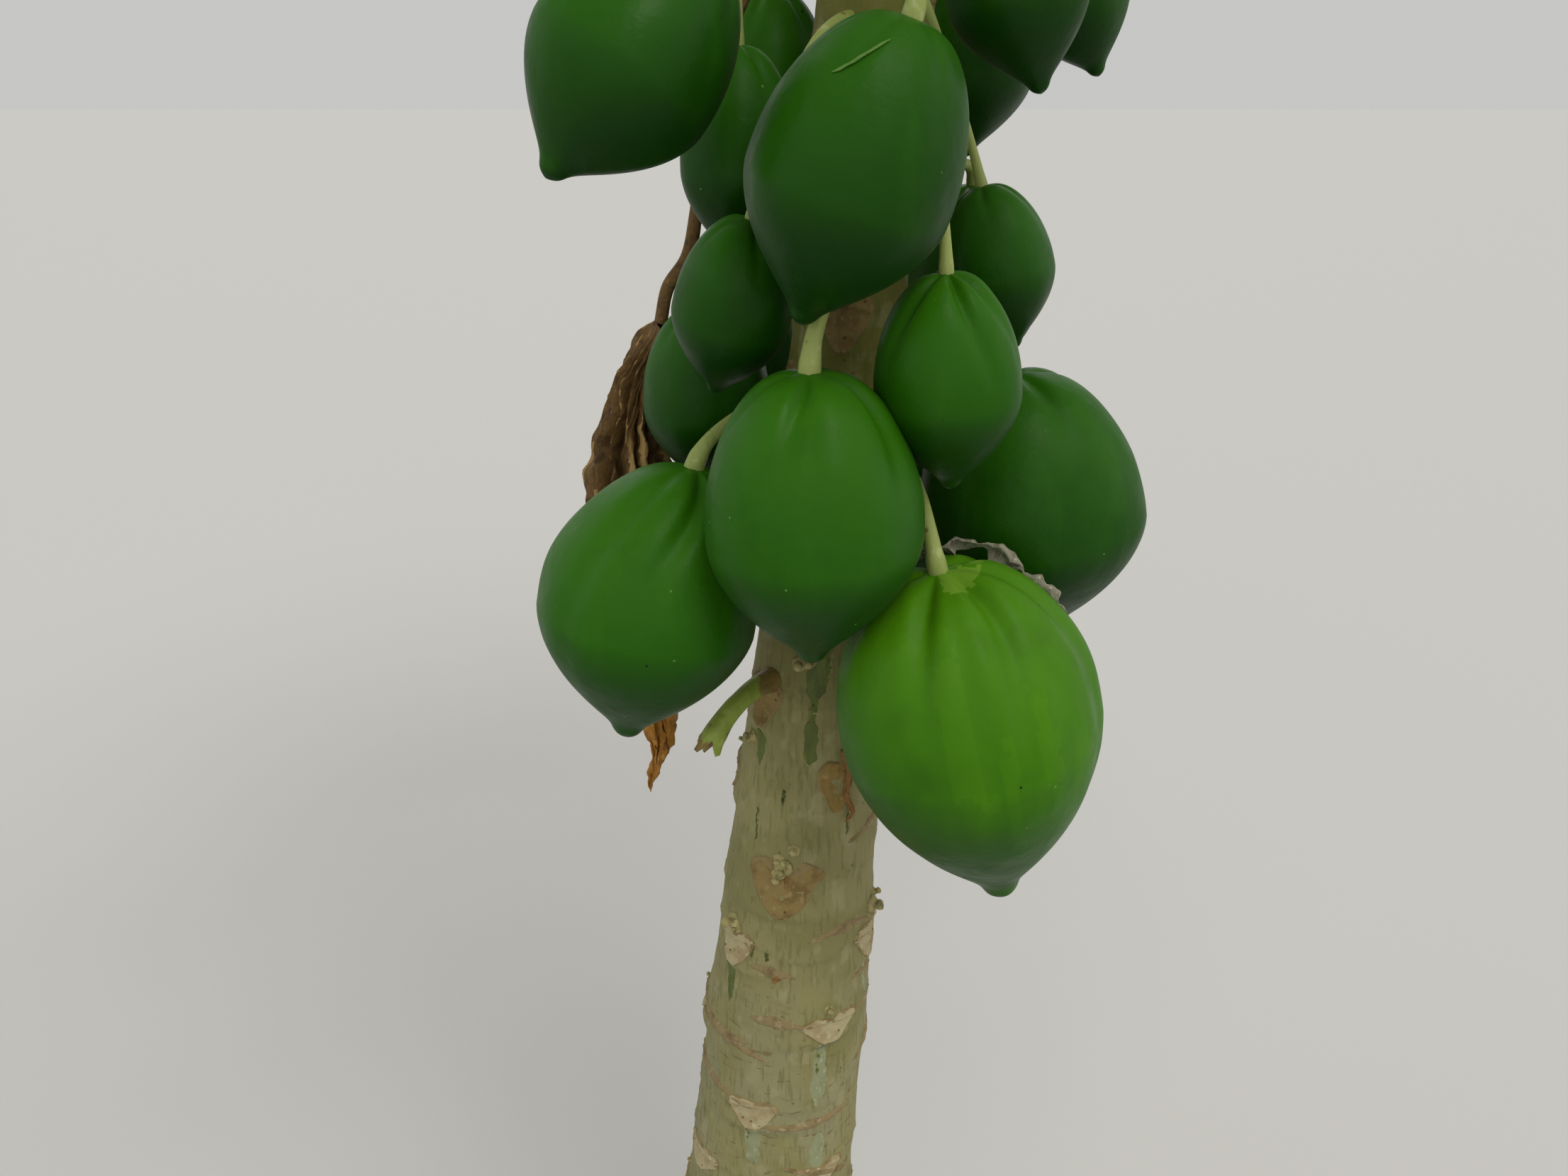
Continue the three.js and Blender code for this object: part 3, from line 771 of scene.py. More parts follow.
def add_scar(pile, node, centre, middle, wide, tall, notch, tone):
    """A heart-shaped corky patch with a raised rim, whose edge sinks into the bark."""
    across = as_row(SCAR_GRID)
    up = as_column(SCAR_GRID, -1, 1)
    down = (1 - up) / 2
    half = (1 - down**1.7) ** 0.75 * np.sqrt(1 - (1 - np.clip(down / 0.3, 0, 1)) ** 2)
    notched = notch * (1 - np.abs(across)) ** 1.5 * smooth_step(up, -0.2, 1)
    height = centre + tall * (up / 2 - notched)
    ragged = 1 + 0.12 * rough(points_of(across, up, node), 0.5, node + 40)
    beside = across * half * ragged * wide / 2
    bearing = middle + np.degrees(beside / trunk_radius(height))
    edge = np.maximum(np.abs(across), np.abs(up))
    lift = 0.0004 + 0.0011 * bell((edge - 0.84) / 0.10) - 0.0030 * smooth_step(edge, 0.90, 1.0)
    place = points_of(beside, height, node)
    lift += 0.0008 * rough(place, 0.006, node + 60) * (1 - smooth_step(edge, 0.8, 1))
    middles = (edge[1:, 1:] + edge[:-1, :-1]) / 2 + 0.07 * rough(place[1:, 1:], 0.005, node)
    pile.add_grid(bark_surface(height, bearing, lift), slot=np.where(middles > SCAR_RIM, 3, tone))


RING_ROWS = 44
RING_COLUMNS = 9


def add_ring(pile, start, middle, end, half, seed):
    """A low corky ridge that follows the bark through three places and dies out at both ends."""
    share = as_column(RING_ROWS)
    across = as_row(RING_COLUMNS)
    weights = [(1 - share) * (1 - 2 * share), 4 * share * (1 - share), share * (2 * share - 1)]
    height, bearing = (sum(w * knot[i] for w, knot in zip(weights, (start, middle, end))) for i in (0, 1))
    place = points_of(height, np.radians(bearing) * 0.065, seed)
    half = half * np.sin(np.pi * share) ** 0.6 * (0.80 + 0.60 * rough(place, 0.012, seed, 3)) + 0.0002
    height = height + 0.0016 * rough(place, 0.018, seed + 9) + across * half
    lift = 0.0017 * (1 - across**2) * np.sin(np.pi * share) ** 0.4 - 0.0010 * np.abs(across) ** 3
    lift = lift + 0.0008 * rough(bark_surface(height, bearing), 0.005, seed + 3, 3)
    pile.add_grid(bark_surface(height, bearing, lift), slot=4, flip=True)


def make_scars():
    pile = Pile()
    for scar in SCARS:
        add_scar(pile, *scar)
    for i, ring in enumerate([*SEEN_RINGS, *hidden_rings()]):
        add_ring(pile, *ring, i)
    pile.build("leaf_scars", ["brown_scar", "pale_scar", "rust_scar", "scar_rim", "ring"])


# Places where the outer bark has split and shows green, or is bleached: the heights of the top and bottom,
# the bearings of the left and right side at the top and at the bottom, and the tone: 0 green, 1 pale.

SPLITS = [
    (0.928, 0.884, 250, 282, 254, 276, 0),
    (0.896, 0.862, 261, 269, 261, 269, 0),
    (0.870, 0.836, 256, 272, 259, 273, 0),
    (0.852, 0.826, 207, 228, 217, 223, 0),
    (0.813, 0.802, 245, 249, 246, 248, 0),
    (0.791, 0.766, 223, 224.5, 226, 227, 0),
    (0.653, 0.617, 209, 225, 218, 222, 0),
    (0.592, 0.560, 288, 297, 290, 294, 0),
    (0.596, 0.530, 286, 298, 287, 304, 1),
    (0.512, 0.470, 242, 258, 246, 260, 1),
    (0.496, 0.424, 290, 306, 292, 300, 1),
    (0.672, 0.612, 328, 336, 332, 340, 1),
    (0.512, 0.494, 246, 249, 247, 248, 0),
    (0.680, 0.668, 236, 238, 235, 237, 0),
    (0.676, 0.668, 245, 249, 247, 250, 0),
    (0.800, 0.776, 300, 303, 301, 302, 0),
]
HIDDEN_SPLITS = 16
SPLIT_ROWS = 40
SPLIT_COLUMNS = 9


def hidden_splits():
    """Splits on the side that the photograph doesn't show, as in SPLITS."""
    dice = np.random.default_rng(8)
    splits = []
    for i in range(HIDDEN_SPLITS):
        top = dice.uniform(0.45, 1.1)
        tall = dice.uniform(0.015, 0.05)
        left = dice.uniform(0, 185)
        wide = dice.uniform(2, 9)
        splits.append((top, top - tall, left, left + wide, left + 0.4 * wide, left + 0.8 * wide, i % 2))
    return splits


def make_splits():
    pile = Pile()
    up = as_column(SPLIT_ROWS)
    across = as_row(SPLIT_COLUMNS, 0)
    for number, split in enumerate([*SPLITS, *hidden_splits()]):
        top, bottom, top_left, top_right, low_left, low_right, tone = split
        left = mix((low_left, top_left), up)
        right = mix((low_right, top_right), up)
        narrow = smooth_step(up, 0, 0.15) * smooth_step(up, 1, 0.85)
        ragged = rough(points_of(up * 12, across * 2, number), 1.0, number, 3)
        height = mix((bottom, top), up) + 0.0030 * rough(points_of(across * 6, 0, number), 1.0, 5)
        bearing = (left + right) / 2 + (across - 0.5) * (right - left) * (0.3 + 0.7 * narrow) + 1.9 * ragged
        edge = np.minimum(np.minimum(across, 1 - across) * 4, 1)
        pile.add_grid(bark_surface(height, bearing, 0.0007 * edge - 0.0004), slot=tone, flip=True)
    pile.build("split_bark", ["open_bark", "pale_bark"])


STUB_POINTS = 12
THREAD_POINTS = 40
THREAD_SIDES = 6


def add_stub(pile, height, bearing, size, lean, slot, seed):
    """A dried bud or the knobbly end of a lost stalk on the bark."""
    foot = bark_surface(height, bearing, -0.002)
    away = outward(bearing)
    tip = foot + away * size * 1.3 + UP * size * lean
    share = as_column(STUB_POINTS)
    radii = size * (0.62 - 0.2 * share + 0.16 * np.sin(9 * share)) * np.sqrt(np.clip(1.02 - share**3, 0, 1))
    knobs = rough(round_points(1, circle(STUB_POINTS), 3 * share), 0.6, seed)
    line = bezier([foot, foot + away * size * 0.8, tip], STUB_POINTS)
    pile.add_limb(line, radii * (1 + 0.28 * knobs), STUB_POINTS, slot)


def add_thread(pile, knots, radius, slot, seed):
    """A dry crooked fibre through some points."""
    line = spline(knots, THREAD_POINTS)
    share = np.linspace(0, 1, THREAD_POINTS)
    radii = radius * (1 - 0.6 * share) * (1 + 0.3 * rough(line, 0.004, seed))
    pile.add_limb(line + 0.0012 * shaken(line, 0.012, seed), radii, THREAD_SIDES, slot)


# Dried buds and knobs that the photograph shows: height, bearing, size, lean and tone. Then the fibres that
# hang there: height, bearing and lift along them, and how far each is turned from that line, with its
# radius.

SEEN_STUBS = [
    (0.752, 253, 0.0095, -0.1, 0),
    (0.746, 250, 0.0070, -0.5, 0),
    (0.758, 249, 0.0060, -0.2, 0),
    (0.766, 260, 0.0064, 0.5, 0),
    (0.742, 257, 0.0040, -0.8, 1),
    (0.910, 250, 0.0078, 0.1, 0),
    (0.912, 258, 0.0066, 0.0, 0),
    (0.842, 205, 0.0072, 0.1, 0),
    (0.836, 199, 0.0050, -0.3, 0),
    (0.688, 215, 0.0092, 0.6, 0),
    (0.684, 220, 0.0052, 0.2, 0),
    (0.694, 338, 0.0090, 0.3, 0),
    (0.690, 345, 0.0080, 0.1, 0),
    (0.698, 348, 0.0060, 0.5, 0),
    (0.655, 256, 0.0052, -0.2, 1),
    (0.623, 296, 0.0052, 0.3, 0),
]
FIBRE_LINE = [
    (0.846, 292, 0.001), (0.830, 296, 0.003), (0.812, 296, 0.002), (0.797, 300, 0.004), (0.788, 298, 0.003),
]
FIBRES = ((0, 0.0019), (1.6, 0.0012), (-1.3, 0.0009))
BUDS_BELOW_NODE = 11


def make_stubs():
    pile = Pile()
    for node, height, bearing, _, tall, *_ in SCARS:
        if node < BUDS_BELOW_NODE and node not in SEEN_SCARS:
            size = 0.0032 + 0.0009 * math.sin(7 * node)
            place = (height + 0.5 * tall + 0.004, bearing + 5 * math.sin(3 * node))
            add_stub(pile, *place, size, 0.6, 0, node + 80)
    for i, stub in enumerate(SEEN_STUBS):
        add_stub(pile, *stub, i)
    for turn, radius in FIBRES:
        knots = [bark_surface(height, bearing + turn, lift) for height, bearing, lift in FIBRE_LINE]
        add_thread(pile, knots, radius, 1, 3 + int(turn * 5))
    pile.build("dried_buds", ["dried_bud", "rust_fibre"])


# Fruits.


class Fruit:
    """One fruit's measures, where its stalk ends and which way its tip points."""

    def __init__(self, node, height, reach, swing, length, width, out, side, ridge, skin):
        self.node = node
        self.length = length
        self.width = width
        self.ridge = ridge
        self.skin = skin
        away = outward(node_bearing(node) + swing)
        along = outward(node_bearing(node) + swing + 90)
        tip = -UP + away * math.tan(math.radians(out))
        self.tip = unit(tip + along * math.tan(math.radians(side)))
        self.stalk_end = trunk_centre(height) + away * reach - self.tip * length / 2
        self.root_swing = YOUNG_SWING if node in YOUNG_NODES else STALK_SWINGS.get(node, 0)
        self.top_shift = TOP_SHIFTS.get(node, 0)

    def profile(self, share):
        """The radius as a share of the half width, at a share of the length from the stalk."""
        belly = HIGH_BELLIES.get(self.node, BELLY)
        upper = np.clip(1 - (1 - np.clip(share / belly, 0, 1)) ** 2, 0, 1) ** SHOULDER_ROUND
        body = 1 - (np.clip(share - belly, 0, 1) / (BODY_END - belly)) ** 2
        end = np.clip((share - NIPPLE_FROM) / (1 - NIPPLE_FROM), 0, 1)
        nipple = NIPPLE_RADIUS * np.sqrt(1 - end**2)
        lower = (body + nipple + np.hypot(body - nipple, NIPPLE_BLEND)) / 2 * np.sqrt(1 - end**4)
        return np.where(share <= belly, upper, np.minimum(1, lower))

    def hang(self, points):
        """Takes points of a fruit that hangs straight down from the origin to its own place and lean."""
        turn = Vector(-UP).rotation_difference(Vector(self.tip)).to_matrix()
        return points @ np.array(turn).T + self.stalk_end


def all_fruits():
    """Every fruit, in the order of the nodes fruit_01 to fruit_24."""
    fruits = [Fruit(*fruit) for fruit in FRUITS]
    for i, node in enumerate(YOUNG_NODES):
        share = (node - YOUNG_NODES[0]) / (YOUNG_NODES[-1] - YOUNG_NODES[0])
        length = mix(YOUNG_LENGTH, share)
        width = mix(YOUNG_WIDTH, share)
        height = node_height(node) - YOUNG_HANG - length / 2
        reach = trunk_radius(height) + YOUNG_CLEAR + width / 2
        fruits.append(Fruit(node, height, reach, YOUNG_SWING, length, width, 0, 0, 50 * i, 0))
    return fruits


# The creases that run down from a fruit's stalk, by node: the angle round the fruit at the stalk and at the
# lower end, how far down they reach as a share of the length, and how deep they are. Other fruits have five
# even ones.

SEEN_CREASES = {
    11: [
        (249, 246, 0.34, 1.0), (308, 286, 0.42, 1.2), (350, 333, 0.95, 0.5), (40, 48, 0.2, 1),
        (110, 100, 0.3, 1), (180, 186, 0.2, 1), (272, 270, 1.2, 0.22), (292, 288, 1.3, 0.20),
        (312, 308, 1.2, 0.16),
    ],
    16: [
        (262, 246, 0.30, 1.1), (344, 324, 0.36, 1.2), (270, 269, 0.60, 0.25), (40, 36, 0.25, 1),
        (110, 116, 0.2, 1), (190, 186, 0.3, 1),
    ],
    19: [
        (222, 204, 0.38, 1.2), (276, 300, 0.42, 1.3), (316, 336, 0.34, 1.1), (0, 4, 0.25, 1),
        (70, 64, 0.2, 1), (140, 146, 0.3, 1),
    ],
    13: [
        (290, 270, 0.34, 1.2), (318, 312, 0.30, 0.9), (240, 226, 0.9, 0.6), (20, 30, 0.2, 1),
        (110, 100, 0.3, 1),
    ],
    24: [
        (240, 236, 0.5, 0.3), (300, 306, 0.45, 0.3), (20, 30, 0.2, 1), (110, 100, 0.3, 1),
        (180, 176, 0.3, 0.6),
    ],
}
CREASE_DEPTH = 0.13
CREASE_WIDTH = 8
CREASE_SPREAD = 10
CREASE_SINK = 0.021


def fruit_creases(fruit):
    """Each crease of a fruit, as in SEEN_CREASES."""
    creases = []
    for i in range(RIBS):
        angle = fruit.ridge + (i + 0.5) * 360 / RIBS + 9 * math.sin(5 * i + fruit.node)
        creases.append((angle, angle + 8 * math.sin(i + fruit.node), 0.24 + 0.1 * math.sin(3 * i), 0.9))
    return SEEN_CREASES.get(fruit.node, creases)


def crease_at(crease, share, degrees):
    """How deep a crease is, from 0 to its strength, at a share of the length and an angle."""
    start, end, reach, strength = crease
    middle = start + (end - start) * np.clip(share / reach, 0, 1)
    wide = CREASE_WIDTH + CREASE_SPREAD * np.exp(-share / 0.04)
    fade = np.exp(-2.2 * (share / reach) ** 1.5)
    return strength * fade * bell(turned_from(degrees, middle) / wide)


# Faces of the ripening fruit that are paler, by angle round it and share of its length: a middle, a half
# width, the start, the end and the tone. The first is the shoulder beside the stalk.

PALE_NODE = 11
PALE_FACES = [
    (332, 58, 0.001, 0.036, 4), (264, 9, 0.10, 0.52, 3), (299, 5, 0.20, 0.66, 3), (280, 4, 0.34, 0.74, 3),
]


def skin_slots(fruit, share, degrees, points):
    """The number of the skin colour for each face of a fruit."""
    slots = np.full(points.shape[:2], fruit.skin)
    if fruit.node == PALE_NODE:
        shake = rough(points * (1, 1, 0.25), 0.010, 17, 3)
        for middle, half, start, end, tone in PALE_FACES:
            across = np.abs(turned_from(degrees, middle)) / half
            along = np.abs(share - (start + end) / 2) / ((end - start) / 2)
            slots = np.where(np.maximum(across, along) + 0.9 * shake < 0.8, tone, slots)
    return slots


# The grid of a fruit: the least number of its sides and rows, and how many more there are for each metre of
# its width or its length.

LEAST_SIDES = 60
SIDES_PER_METRE = 500
LEAST_ROWS = 44
ROWS_PER_METRE = 200
END_ANGLE = 0.03


def add_fruit(pile, fruit, seed):
    """One fruit's skin: soft ribs, deep creases round the stalk, and a blunt nipple."""
    sides = LEAST_SIDES + int(fruit.width * SIDES_PER_METRE)
    rows = LEAST_ROWS + int(fruit.length * ROWS_PER_METRE)
    share = 0.5 + 0.5 * np.cos(as_column(rows, END_ANGLE, np.pi - END_ANGLE))
    degrees = circle(sides, 360)
    profile = fruit.profile(share)
    creased = sum(crease_at(crease, share, degrees) for crease in fruit_creases(fruit))
    ribs = RIB_LOW * np.cos(RIBS * np.radians(degrees - fruit.ridge))
    ribs = ribs + SHOULDER_PUFF * np.exp(-share / PUFF_FADE) * (1 - creased) - CREASE_DEPTH * creased
    radius = fruit.width / 2 * profile * (1 + ribs)
    sunk = FRUIT_DIP * bell(profile / DIP_WIDTH) * smooth_step(share, 0.5, 0.3)
    sunk = sunk + CREASE_SINK * creased * smooth_step(profile, 0.05, 0.4)
    points = round_points(radius, np.radians(degrees), -fruit.length * (share + sunk))

    # An uneven body: broad dents and a slight bend, which leave the stalk and the tip in place.
    body = np.sin(np.pi * np.clip(share, 0, 1))
    dents = 0.020 * rough(points, 0.07, seed) + 0.005 * rough(points, 0.022, seed + 5)
    points[..., :2] *= (1 + dents * body)[..., None]
    bend = math.radians(67 * seed)
    points[..., 0] += 0.010 * fruit.width * math.cos(bend) * body
    points[..., 1] += 0.010 * fruit.width * math.sin(bend) * body
    points[..., 0] += fruit.top_shift * smooth_step(share, TOP_SHIFT_FADE, 0)

    slots = skin_slots(fruit, (share[1:] + share[:-1]) / 2, degrees + 180 / sides, points[1:])
    pile.add_grid(fruit.hang(points), wrap=True, slot=slots, ends=True)


# A pale scratch on one fruit: the share of the length and the angle at points along it.

SCRATCH_NODE = 24
SCRATCH_LINE = [(0.235, 229, 0), (0.210, 234, 0), (0.159, 242, 0), (0.124, 248, 0), (0.101, 253, 0)]
SCRATCH_ROWS = 40
SCRATCH_HALF = 0.0012
SCRATCH_LIFT = 0.0008
SKINS = ["skin_deep", "skin_dark", "skin_ripening", "skin_streak", "skin_shoulder"]


def add_scratch(pile, fruit):
    line = spline(SCRATCH_LINE, SCRATCH_ROWS)
    half = SCRATCH_HALF * np.sin(np.pi * as_column(SCRATCH_ROWS, 0.04, 0.96)) ** 0.6
    half = half * (1 + 0.5 * rough(line * (40, 0.3, 0), 1.0, 3)[:, None])
    share = line[:, :1] + as_row(5) * half / fruit.length
    radius = fruit.width / 2 * fruit.profile(share) * 1.008 + SCRATCH_LIFT
    points = round_points(radius, np.radians(line[:, 1:2]), -fruit.length * share)
    pile.add_grid(fruit.hang(points), slot=len(SKINS), flip=True)


STALK_POINTS = 44
STALK_SIDES = 16


def add_fruit_stalk(pile, fruit, seed):
    """A fruit's stalk, knobbly, swollen at the trunk and flared where it sits in the fruit's dimple."""
    end = fruit.stalk_end + (fruit.top_shift, 0, 0)
    straight_out, straight_down = STALK_BENDS.get(fruit.node, STALK_BEND)
    root = root_at(fruit.node, STALK_ABOVE - STALK_DROPS.get(fruit.node, 0), fruit.root_swing)
    leaving = outward(node_bearing(fruit.node) + fruit.root_swing)
    span = np.linalg.norm(root - end)
    inside = FRUIT_DIP * fruit.length + SUNK
    above = end - fruit.tip * straight_down * span
    out = root + leaving * (straight_out * span + SUNK)
    line = bezier([root, out, above, end + fruit.tip * inside], STALK_POINTS)
    share = as_column(STALK_POINTS)
    thick = max(STALK_THINNEST, min(1, fruit.width / STALK_FULL_WIDTH))
    radii = thick * mix((STALK_MIDDLE, STALK_END), (2 * share - 1) ** 2)
    travel = np.cumsum([0, *np.linalg.norm(np.diff(line, axis=0), axis=1)])[:, None]
    to_fruit = travel[-1] - inside - travel
    radii = radii * (1 + 0.22 * np.exp(-np.clip(to_fruit, 0, None) / 0.006) + 0.35 * np.exp(-travel / 0.012))
    knobs = rough(round_points(1, circle(STALK_SIDES), travel / 0.016), 0.9, seed)
    pile.add_limb(line, radii * (1 + 0.09 * knobs), STALK_SIDES)


FRUIT_GROUPS = {"lower": range(0, 7), "middle": range(7, 14), "upper": range(14, 24)}


def make_fruits():
    fruits = all_fruits()
    stalks = Pile()
    for name, numbers in FRUIT_GROUPS.items():
        pile = Pile()
        for i in numbers:
            add_fruit(pile, fruits[i], i + 1)
            add_fruit_stalk(stalks, fruits[i], i + 30)
            if fruits[i].node == SCRATCH_NODE:
                add_scratch(pile, fruits[i])
        nodes = [f"fruit_{i + 1:02d}" for i in numbers]
        pile.build(f"fruits_{name}", [*SKINS, "scratch"], nodes)
    stalks.build("fruit_stalks", ["fruit_stalk"])


# The broken stalk of a picked fruit.

BROKEN_NODE = 5
BROKEN_ABOVE = 0.010
BROKEN_SWING = 10
BROKEN_OUT = 0.062
BROKEN_DOWN = 0.029
BROKEN_ARCH = 0.004
BROKEN_RADIUS = 0.0078
BROKEN_POINTS = 60
BROKEN_SIDES = 24


def make_broken_stalk():
    root = root_at(BROKEN_NODE, BROKEN_ABOVE, BROKEN_SWING)
    away = outward(node_bearing(BROKEN_NODE) + BROKEN_SWING)
    end = root + away * BROKEN_OUT - UP * BROKEN_DOWN
    line = bezier([root, root + away * 0.60 * BROKEN_OUT + UP * BROKEN_ARCH, end], BROKEN_POINTS)
    down = as_column(BROKEN_POINTS)
    angles = circle(BROKEN_SIDES)
    radii = BROKEN_RADIUS * (1 + 0.30 * np.exp(-down / 0.12) - 0.14 * np.sin(np.pi * down))
    radii = radii * (1 + 0.14 * smooth_step(down, 0.70, 0.97))
    fray = smooth_step(down, 0.86, 1.0)
    radii = radii * (1 + fray * (0.20 * np.cos(4 * angles) + 0.14 * np.cos(7 * angles + 1)))
    radii = radii * (1 + 0.07 * rough(round_points(1, angles, 5 * down), 0.8, 4))
    grid = tube(line, radii, BROKEN_SIDES)
    forward = unit(end - line[-8])

    # The torn end: its rim runs out in uneven points, and its middle is drawn back.
    points = 0.0035 * np.cos(5 * angles + 1) + 0.0025 * np.cos(3 * angles)
    grid = grid + (smooth_step(down, 0.84, 1.0) * points)[..., None] * forward
    inner = grid[-1] * 0.55 + line[-1] * 0.45 - forward * 0.002
    deepest = grid[-1] * 0.1 + line[-1] * 0.9 - forward * 0.005
    grid = np.concatenate([grid, inner[None], deepest[None]])
    rows = np.arange(len(grid) - 1)[:, None] + 2.5 * np.cos(2 * angles)
    pile = Pile()
    pile.add_grid(grid, wrap=True, slot=np.where((rows < 15) | (rows > 57), 1, 0), ends=True)
    pile.build("broken_stalk_skin", ["torn_stalk", "dry_stalk"], ["broken_stalk"])


# The withered leaf: its node, the way its stalk hangs, the line of its blade, and half widths down that
# line. Then the torn strips at its tip, with their half widths.

WITHERED_NODE = 26
WITHERED_STALK = [
    (0.022, 0.014, 1.306),
    (-0.001, 0.019, 1.242),
    (-0.008, 0.020, 1.190),
    (-0.014, 0.020, 1.164),
    (-0.027, 0.021, 1.145),
]
WITHERED_LINE = [
    (-0.033, 0.025, 1.122),
    (-0.056, 0.048, 1.055),
    (-0.065, 0.050, 0.970),
    (-0.060, 0.036, 0.875),
    (-0.050, 0.012, 0.785),
]
WITHERED_RADII = [0.005, 0.016, 0.024, 0.029, 0.032, 0.032, 0.029, 0.024, 0.014, 0.004]
WITHERED_ROWS = 110
PLEATS = 11
PLEAT_COLUMNS = 14
HEM_FROM = 0.62
TIP_STRIPS = [
    [
        (-0.050, 0.024, 0.880), (-0.047, 0.022, 0.845), (-0.047, 0.026, 0.812), (-0.052, 0.028, 0.785),
        (-0.058, 0.030, 0.758),
    ],
    [(-0.042, 0.030, 0.876), (-0.038, 0.030, 0.845), (-0.040, 0.026, 0.818), (-0.046, 0.026, 0.794)],
    [(-0.060, 0.020, 0.878), (-0.060, 0.018, 0.848), (-0.054, 0.022, 0.820), (-0.054, 0.026, 0.788)],
    [(-0.070, 0.030, 0.880), (-0.074, 0.030, 0.850), (-0.066, 0.026, 0.836), (-0.072, 0.030, 0.822)],
]
TIP_HALF = [0.015, 0.011, 0.011, 0.006]
STRIP_ROWS = 56
STRIP_COLUMNS = 13


def add_crumpled_strip(pile, knots, half, seed, slot):
    """A dry strip that is folded along its length, curled and crumpled."""
    line = spline(knots, STRIP_ROWS)
    normals, binormals = line_frames(line)
    share = as_column(STRIP_ROWS)
    across = as_row(STRIP_COLUMNS)
    wide = half * np.minimum(1, share * 2 + 0.5) * (1 - share**2.4) ** 0.9 + 0.0006
    wide = wide * (1 + 0.35 * rough(points_of(share * 7, 0, seed), 1.0, seed))
    turn = (1.2 * across + 2.2 * share + seed)[..., None]
    fold = 0.32 * wide * np.cos(np.pi * 2 * across)
    side = np.cos(turn) * binormals + np.sin(turn) * normals
    face = -np.sin(turn) * binormals + np.cos(turn) * normals
    grid = line[:, None] + side * (across * wide)[..., None] + face * fold[..., None]
    crumpled = grid + 0.0040 * shaken(grid, 0.012, seed + 91) + 0.0012 * shaken(grid, 0.004, seed + 71, 1)
    pile.add_grid(crumpled, slot=slot)


def without_threads(keep):
    """Drops the kept faces that hang in strips less than three faces wide."""
    inner = keep & np.roll(keep, 1, axis=1) & np.roll(keep, -1, axis=1)
    return inner | np.roll(inner, 1, axis=1) | np.roll(inner, -1, axis=1)


def make_withered_leaf():
    """A dried leaf that hangs shut like an umbrella: long deep pleats with paler edges, and a torn hem."""
    pile = Pile()
    stalk_line = spline([root_at(WITHERED_NODE), *WITHERED_STALK, WITHERED_LINE[0]], 60)
    pile.add_limb(stalk_line, 0.0042 * (1 + 0.22 * rough(stalk_line, 0.03, 9)), 8, flat=0.7)

    columns = PLEATS * PLEAT_COLUMNS
    share = as_column(WITHERED_ROWS)
    around = circle(columns)
    ring = round_points(1, around, 1.5 * share)
    wander = 1.4 * rough(ring, 0.9, 3) + 1.8 * share
    pleat = PLEATS * around / (2 * np.pi) + wander
    wave = np.abs(pleat % 1 * 2 - 1)
    second = np.abs((2.3 * PLEATS * around / (2 * np.pi) - 1.7 * wander) % 1 * 2 - 1)
    deep = 0.62 * smooth_step(share, 0.0, 0.14)
    folds = 1.08 - deep * (1 - wave) + 0.14 * second + 0.26 * rough(ring * (1, 1, 1.6), 0.8, 6)
    radii = spread_over(share, WITHERED_RADII) * folds
    grid = tube(spline(WITHERED_LINE, WITHERED_ROWS), radii, columns, 0.8)
    crisp = shaken(grid * (1, 1, 0.5), 0.005, 71, 1)
    grid = grid + 0.0045 * shaken(grid, 0.020, 31) + 0.0012 * crisp

    # Each pleat is torn off at its own height, and a few holes are worn through.
    torn = HEM_FROM + 0.36 * (0.5 + 0.5 * np.sin(2.7 * (pleat // 1) + 1)) + 0.05 * rough(ring, 0.12, 8)
    worn = (rough(ring * (2, 2, 3), 0.5, 12) > 0.74) & (share > 0.16)
    keep = ((share < torn) & ~worn)[:-1]
    place = rough(ring * (1, 1, 4), 0.7, 15)
    slots = np.where(wave + 0.35 * place > 0.84, 1, 0)
    slots = np.where(share + 0.1 * place > 0.80, 2, slots)[:-1]
    pile.add_grid(grid, wrap=True, slot=slots, keep=without_threads(keep))
    for i, (knots, half) in enumerate(zip(TIP_STRIPS, TIP_HALF)):
        add_crumpled_strip(pile, knots, half, 3 * i, 2 if i < 3 else 0)
    paints = ["withered", "withered_fold", "withered_rust"]
    pile.build("withered_leaf_blade", paints, ["withered_leaf"])


# The dry grey shred that lies over the largest fruit's shoulder: its line, and its half width at each knot.

SHRED_KNOTS = [
    (0.128, -0.078, 1.003),
    (0.134, -0.090, 1.014),
    (0.148, -0.088, 1.018),
    (0.165, -0.092, 1.014),
    (0.181, -0.098, 1.006),
    (0.197, -0.106, 0.994),
    (0.209, -0.112, 0.983),
    (0.216, -0.118, 0.970),
    (0.216, -0.122, 0.958),
]
SHRED_HALF = [0.003, 0.007, 0.008, 0.007, 0.008, 0.006, 0.004, 0.002, 0.001]
SHRED_ROWS = 110
SHRED_COLUMNS = 13


def make_shred():
    line = spline(SHRED_KNOTS, SHRED_ROWS)
    normals, binormals = line_frames(line)
    share = as_column(SHRED_ROWS)
    across = as_row(SHRED_COLUMNS)
    half = spread_over(share, SHRED_HALF) * (0.85 + 0.35 * np.sin(31 * share) + 0.2 * np.sin(67 * share))
    angle = across * (2.4 + 1.3 * np.sin(13 * share)) + 6 * share
    width = half * across
    grid = line[:, None] + (width * np.cos(angle))[..., None] * binormals
    grid = grid + (np.abs(width) * np.sin(angle))[..., None] * normals
    pile = Pile()
    pile.add_grid(grid + 0.0035 * shaken(grid, 0.010, 91) + 0.0014 * shaken(grid, 0.004, 61, 1))
    pile.build("dry_shred", ["dry_shred"])


# Leaves.

